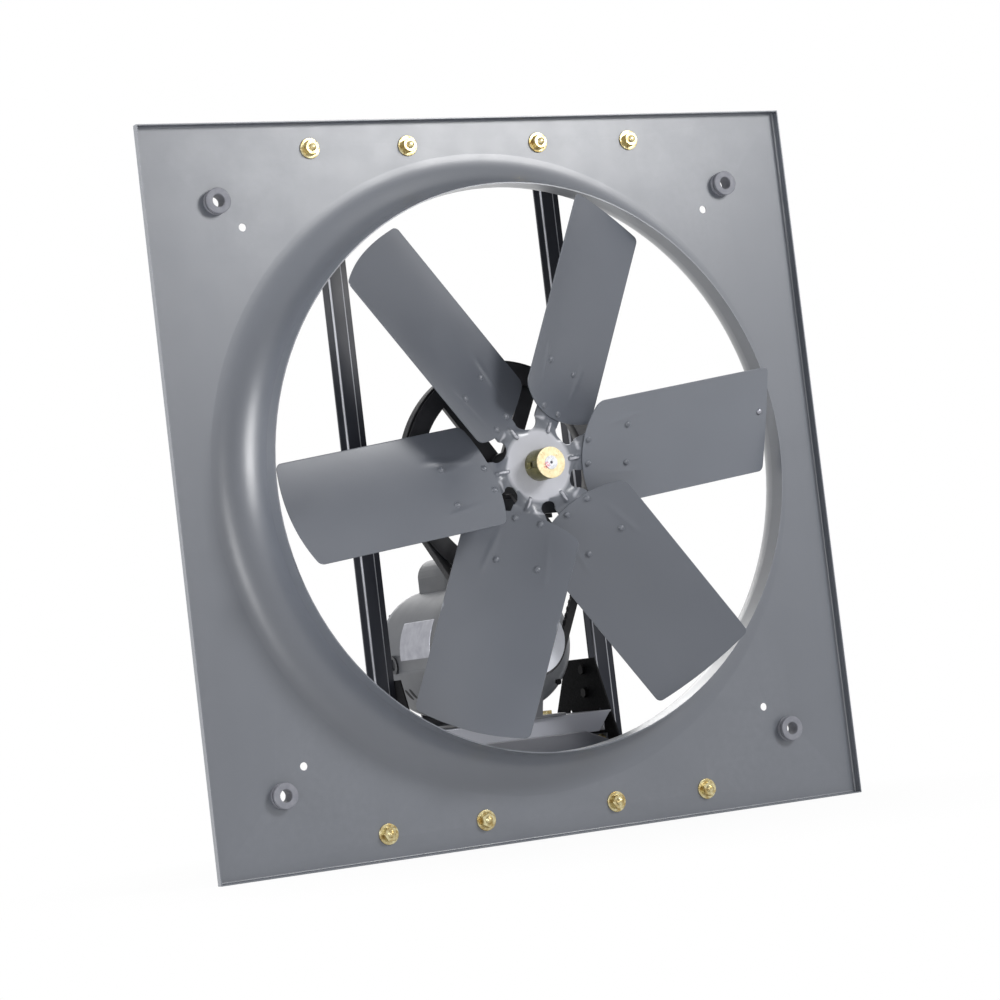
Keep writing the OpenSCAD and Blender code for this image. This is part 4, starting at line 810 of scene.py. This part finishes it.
def threaded_end(centre):
    """A bolt along Y: a domed point, r = R cos t, then a thread as rings of crest and root."""
    pitch, thread_depth, point_len, point_inset = 1.5, 0.45, 1.8, 0.5
    thread_start, thread_end = BOLT_TIP + 2.0, BOLT_TIP + 16.0
    dome = np.linspace(np.pi / 2, 0, 6)
    point = np.stack([(BOLT_R - point_inset) * np.cos(dome), BOLT_TIP + point_len * (1 - np.sin(dome))], -1)
    turns = np.arange(thread_start, thread_end, pitch / 2)
    rings = np.stack([BOLT_R - thread_depth * (np.arange(len(turns)) % 2), turns], -1)
    shank = [(BOLT_R, thread_end + 0.5), (BOLT_R, HEAD_FRONT), (0, HEAD_FRONT)]
    return turned(np.concatenate([point, rings, shank]), 32, centre)


def build_fasteners():
    """Bolts with washers and nuts, each nut turned its own way."""
    bolts, washers, nuts = [], [], []
    bolt_step, nut_start, nut_step = 0.35, 0.4, 0.55
    bore_edge, rim_front, rim_back = 0.2, 0.6, 0.3
    washer = rounded([(BOLT_BORE, WASHER_FRONT), (WASHER_R, WASHER_FRONT), (WASHER_R, 0.0), (BOLT_BORE, 0.0)],
                     [bore_edge, rim_front, rim_back, bore_edge], 4)
    for index, centre in enumerate(at_bolts()):
        bolts.append(threaded_end(centre))
        bolts.append(hexagon(HEAD_FRONT, HEAD_BACK, centre, bolt_step * index, chamfer_front=False))
        washers.append(turned(washer, 64, centre))
        nut_turn = nut_start + nut_step * index
        nuts.append(hexagon(NUT_FRONT, WASHER_FRONT, centre, nut_turn, bore=BOLT_BORE))
    stands_for(make_piece("panel_bolt_set", bolts, ZINC, sharp=28), "frame", "panel_bolts")
    stands_for(make_piece("panel_washer_set", washers, ZINC, sharp=50), "frame", "panel_washers")
    stands_for(make_piece("panel_nut_set", nuts, ZINC, sharp=28), "frame", "panel_nuts")


def build_isolators():
    """Rubber grommets: two rings with a groove between them in front, a neck and a back ring."""
    bore, ring, groove, neck = 8.7, 17.75, 14.0, 12.5
    front, groove_front, groove_back, back = -14.0, -9.0, -5.0, 11.6
    lip, rim, shoulder, root, edge, seat = 1.6, 1.8, 1.2, 0.8, 1.0, 0.6
    profile = rounded([(bore, front), (ring, front), (ring, groove_front), (groove, groove_front),
                       (groove, groove_back), (ring, groove_back), (ring, 0.0), (neck, 0.0),
                       (neck, PANEL_T), (ring, PANEL_T), (ring, back), (bore, back)],
                      [lip, rim, shoulder, root, root, edge, seat, 0, 0, seat, rim, lip], 6)
    places = [(side * ISOLATOR_AT, row * ISOLATOR_AT) for side in (-1, 1) for row in (-1, 1)]
    grommets = [turned(profile, 72, place) for place in places]
    stands_for(make_piece("isolator_set", grommets, GROMMET, sharp=50), "frame", "panel_isolators")


build_fasteners()
build_isolators()


# Drive frame and motor

def build_strut(side, name, node):
    """A rolled strap with a raised crown, and its two ears.

    The strap's section of (x, y), with its bends as parabolas, is carried along Z. An ear is a
    rounded plate that stands back from the strap's inner edge, between two heights.
    """
    half, crown, inner = STRUT_HALF, CROWN_HALF, CROWN_HALF - STRUT_T
    front, back = STRUT_FRONT, STRUT_FRONT + STRUT_T
    top, under = STRUT_FRONT - CROWN_H, STRUT_FRONT - CROWN_H + STRUT_T
    edge, foot, crest, inside = 0.5, 1.6, 1.7, 0.4
    face = [(-half, front), (-crown, front), (-crown, top), (crown, top), (crown, front), (half, front)]
    rear = [(half, back), (inner, back), (inner, under), (-inner, under), (-inner, back), (-half, back)]
    radii = [edge, foot, crest, crest, foot, edge, edge, inside, inside, inside, inside, edge]
    section = rounded(face + rear, radii, 7)
    levels = np.array([-STRUT_END, 0.0, STRUT_END])[:, None]
    grid = points_of(side * STRUT_X + section[:, 0], section[:, 1], levels)
    patches, caps = [(grid, False, True)], [grid[0], grid[-1]]
    start = back - EAR_LAP
    plate = rounded([(0, start), (STRUT_T, start), (STRUT_T, EAR_BACK), (0, EAR_BACK)], edge, 4)
    for ends in EARS:
        x = side * (STRUT_X - STRUT_HALF + plate[:, 0])
        ear = points_of(x, plate[:, 1], np.array(ends)[:, None])
        patches.append((ear, False, True))
        caps += [ear[0], ear[-1]]
    stands_for(make_piece(name, patches, STRUT, sharp=40, caps=caps), "frame", node)


def belt_loop(steps):
    """Pitch line of the belt: the sheave's arc, a straight run, the pulley's arc and back.

    The runs are tangent to both circles; half the wrap is the angle whose cosine is the
    difference of the radii over the distance of the axes. Gives points, outward directions and
    the number of notches, with a number of steps to each notch.
    """
    big, small = np.array([0.0, AXIS_Z]), np.array(MOTOR_AT)
    gap = np.linalg.norm(small - big)
    lean = np.arctan2(small[1] - big[1], small[0] - big[0])
    half = np.arccos((SHEAVE_R - PULLEY_R) / gap)
    run = gap * np.sin(half)
    big_arc, small_arc = SHEAVE_R * (2 * np.pi - 2 * half), PULLEY_R * 2 * half
    total = big_arc + small_arc + 2 * run
    notches = int(total / BELT_NOTCH)
    d = np.linspace(0, total, notches * steps, endpoint=False)
    d2 = d - big_arc - run
    turn = np.where(d < big_arc, lean + half + d / SHEAVE_R, lean - half)
    turn = np.where(d2 > 0, lean - half + np.clip(d2, 0, small_arc) / PULLEY_R, turn)
    normal, tangent = on_circle(turn), on_circle(turn + np.pi / 2)
    base = np.where((d2 > 0)[:, None], small + PULLEY_R * normal, big + SHEAVE_R * normal)
    slide = np.where(d > big_arc, np.clip(d - big_arc, 0, run), 0) * (d2 <= 0)
    slide += np.clip(d2 - small_arc, 0, run) * (d2 > small_arc)
    return base + slide[:, None] * tangent, normal, notches


def build_belt():
    """A cogged wedge belt: its inner side rises and falls in notches along the loop."""
    top, depth, notch_depth, half, edge = 3.8, 10.0, 1.0, 7.75, 0.6
    steps, slope = 8, np.tan(np.radians(18))
    at, out, notches = belt_loop(steps)
    root = depth - notch_depth * np.tile(np.repeat([0, 1], steps // 2), notches)
    flat = np.full(len(at), top)
    rows = [(-half, flat - edge), (edge - half, flat), (half - edge, flat), (half, flat - edge),
            (half - root * slope, flat - root), (root * slope - half, flat - root)]
    loop = []
    for y, lift in rows:
        place = at + lift[:, None] * out
        loop.append(points_of(place[:, 0], BELT_Y + y, place[:, 1]))
    belt = make_piece("cogged_belt", [(np.stack(loop, 1), True, True)], BELT, sharp=30)
    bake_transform(belt)
    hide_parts("drive_belt")


def on_shell(y, angle, lift):
    """A point of the motor's drum at a place along Y and an angle in degrees."""
    a = np.radians(angle)
    r = MOTOR_R + lift
    return points_of(MOTOR_AT[0] + r * np.cos(a), y, MOTOR_AT[1] + r * np.sin(a))


def build_vents():
    """Dark slots across the drum's lower left side, each a lens a hair above the steel: painted shade
    standing in for the open slots.

    Along a slot s runs from -1 to 1, and half its width is h sqrt(1 - c s^4), with c close to 1.
    """
    slot_half, end_share, middle_lift, edge_fall = 4.6, 0.98, 0.25, 0.2
    s = np.linspace(-1, 1, 21)[:, None]
    across = np.linspace(-1, 1, 5)[None, :]
    half = slot_half * np.sqrt(1 - end_share * s ** 4)
    lift = middle_lift - edge_fall * across ** 2
    patches = []
    for y, low, high in VENTS:
        angle = low + (s + 1) / 2 * (high - low)
        patches.append((on_shell(y + across * half, angle, lift), False, False))
    slots = make_piece("motor_vent_slots", patches, SHADOW, sharp=60)
    extra(slots, "motor_carriage")


def build_plate():
    """A bare data plate that follows the drum, with a raised border and blank fields pressed in it."""
    y = PLATE_Y + np.linspace(-PLATE_HALF, PLATE_HALF, 61)[:, None]
    angle = PLATE_ANGLE + np.linspace(-PLATE_HALF_ANGLE, PLATE_HALF_ANGLE, 49)[None, :]
    s, t = np.abs(y - PLATE_Y) / PLATE_HALF, np.abs(angle - PLATE_ANGLE) / PLATE_HALF_ANGLE
    thick, border_h, line_h, line_half = 0.5, 0.25, 0.16, 0.03
    field_share, border_share, long_line, short_line, edge_share = 0.9, 0.94, 0.35, 0.7, 0.999
    outward = np.maximum(s, t)
    border = border_h * smooth_step(outward, field_share, border_share)
    lines = (np.abs(t - long_line) < line_half) + (np.abs(t - short_line) < line_half) * (s < field_share)
    lift = np.where(outward > edge_share, 0.0, thick + border + line_h * lines)
    grid = on_shell(y, angle, lift)
    plate = make_piece("motor_plate", [(grid, False, False)], PLATE, sharp=60)
    stands_for(plate, "motor_carriage", "data_plate")


build_strut(-1, "left_upright", "left_strut")
build_strut(1, "right_upright", "right_strut")
build_belt()
build_vents()
build_plate()
weld("motor_shell")
for width, angle, segments, nodes in SOFT_EDGES:
    for node in nodes:
        weld(node)
        round_edges(NODES[node], width, angle, segments, harden=True)


# Stage

def build_camera():
    """The photograph's camera: its axes are right, up and back."""
    camera = bpy.data.objects.new("camera", bpy.data.cameras.new("camera"))
    bpy.context.scene.collection.objects.link(camera)
    camera.data.sensor_width = SENSOR_MM
    camera.data.lens = FOCAL_PIXELS * SENSOR_MM / PHOTO_PIXELS
    camera.data.clip_end = 100
    axes = Matrix((CAMERA_RIGHT, -Vector(CAMERA_DOWN), -Vector(CAMERA_AHEAD))).transposed().to_4x4()
    camera.matrix_world = Matrix.Translation(CAMERA_AT) @ axes
    bpy.context.scene.camera = camera


def shows_backdrop(tree):
    """1 for camera, mirror and glass rays, which see the backdrop itself, and 0 for the rest."""
    path = add_node(tree, "ShaderNodeLightPath").outputs
    mirror = add_node(tree, "ShaderNodeMath", {0: path["Is Glossy Ray"], 1: path["Is Transmission Ray"]},
                      operation="MAXIMUM").outputs[0]
    return add_node(tree, "ShaderNodeMath", {0: path["Is Camera Ray"], 1: mirror},
                    operation="MAXIMUM").outputs[0]


def build_floor():
    """A pale floor: white to the camera further out, with only the fan's own shade near it."""
    span, drop = 40.0, cad_box[0][2]
    shade_inner, shade_outer, shade_white = 250.0, 800.0, 0.93
    mesh = bpy.data.meshes.new("floor")
    mesh.from_pydata([(-span, -span, drop), (span, -span, drop), (span, span, drop), (-span, span, drop)],
                     [], [(0, 1, 2, 3)])
    floor = bpy.data.objects.new("floor", mesh)
    bpy.context.scene.collection.objects.link(floor)
    look = Look("Pale floor", Roughness=0.9)
    look.paint("Base Color", look.mix(look.noise(grain=500.0, detail=3.0), srgb("#f6f6f6"), srgb("#fafafa")))
    white = look.add("ShaderNodeEmission", {"Color": srgb("#ffffff"), "Strength": 1.0})
    near = look.near((0, 0, drop / MM), shade_inner, shade_outer)
    shade = look.spread(near, 0.0, 1.0, 1.0, shade_white)
    blend = look.add("ShaderNodeMixShader", {0: look.math("MULTIPLY", shows_backdrop(look.tree), shade),
                                             1: look.shader.outputs[0], 2: white.outputs[0]})
    look.tree.links.new(blend.outputs[0], look.tree.nodes["Material Output"].inputs["Surface"])
    mesh.materials.append(look.material)


def soft_light(name, at, aim, size, power):
    """A square area light at a place, facing a target."""
    data = bpy.data.lights.new(name, "AREA")
    data.size = size
    data.energy = power
    light = bpy.data.objects.new(name, data)
    bpy.context.scene.collection.objects.link(light)
    away = (Vector(at) - Vector(aim)).to_track_quat("Z", "Y").to_matrix().to_4x4()
    light.matrix_world = Matrix.Translation(at) @ away


def build_world():
    """White to the camera and in mirror rays, a soft grey as light."""
    world = bpy.data.worlds.new("studio")
    bpy.context.scene.world = world
    world.use_nodes = True
    tree = world.node_tree
    tree.nodes.clear()
    white = add_node(tree, "ShaderNodeBackground", {"Color": srgb("#ffffff"), "Strength": 1.0})
    soft = add_node(tree, "ShaderNodeBackground", {"Color": srgb("#dfe2e8"), "Strength": SKY_STRENGTH})
    mix = add_node(tree, "ShaderNodeMixShader",
                   {0: shows_backdrop(tree), 1: soft.outputs[0], 2: white.outputs[0]})
    add_node(tree, "ShaderNodeOutputWorld", {"Surface": mix.outputs[0]})


build_camera()
build_floor()
build_world()
for light in LIGHTS:
    soft_light(*light)
bpy.context.scene.view_settings.view_transform = "Standard"
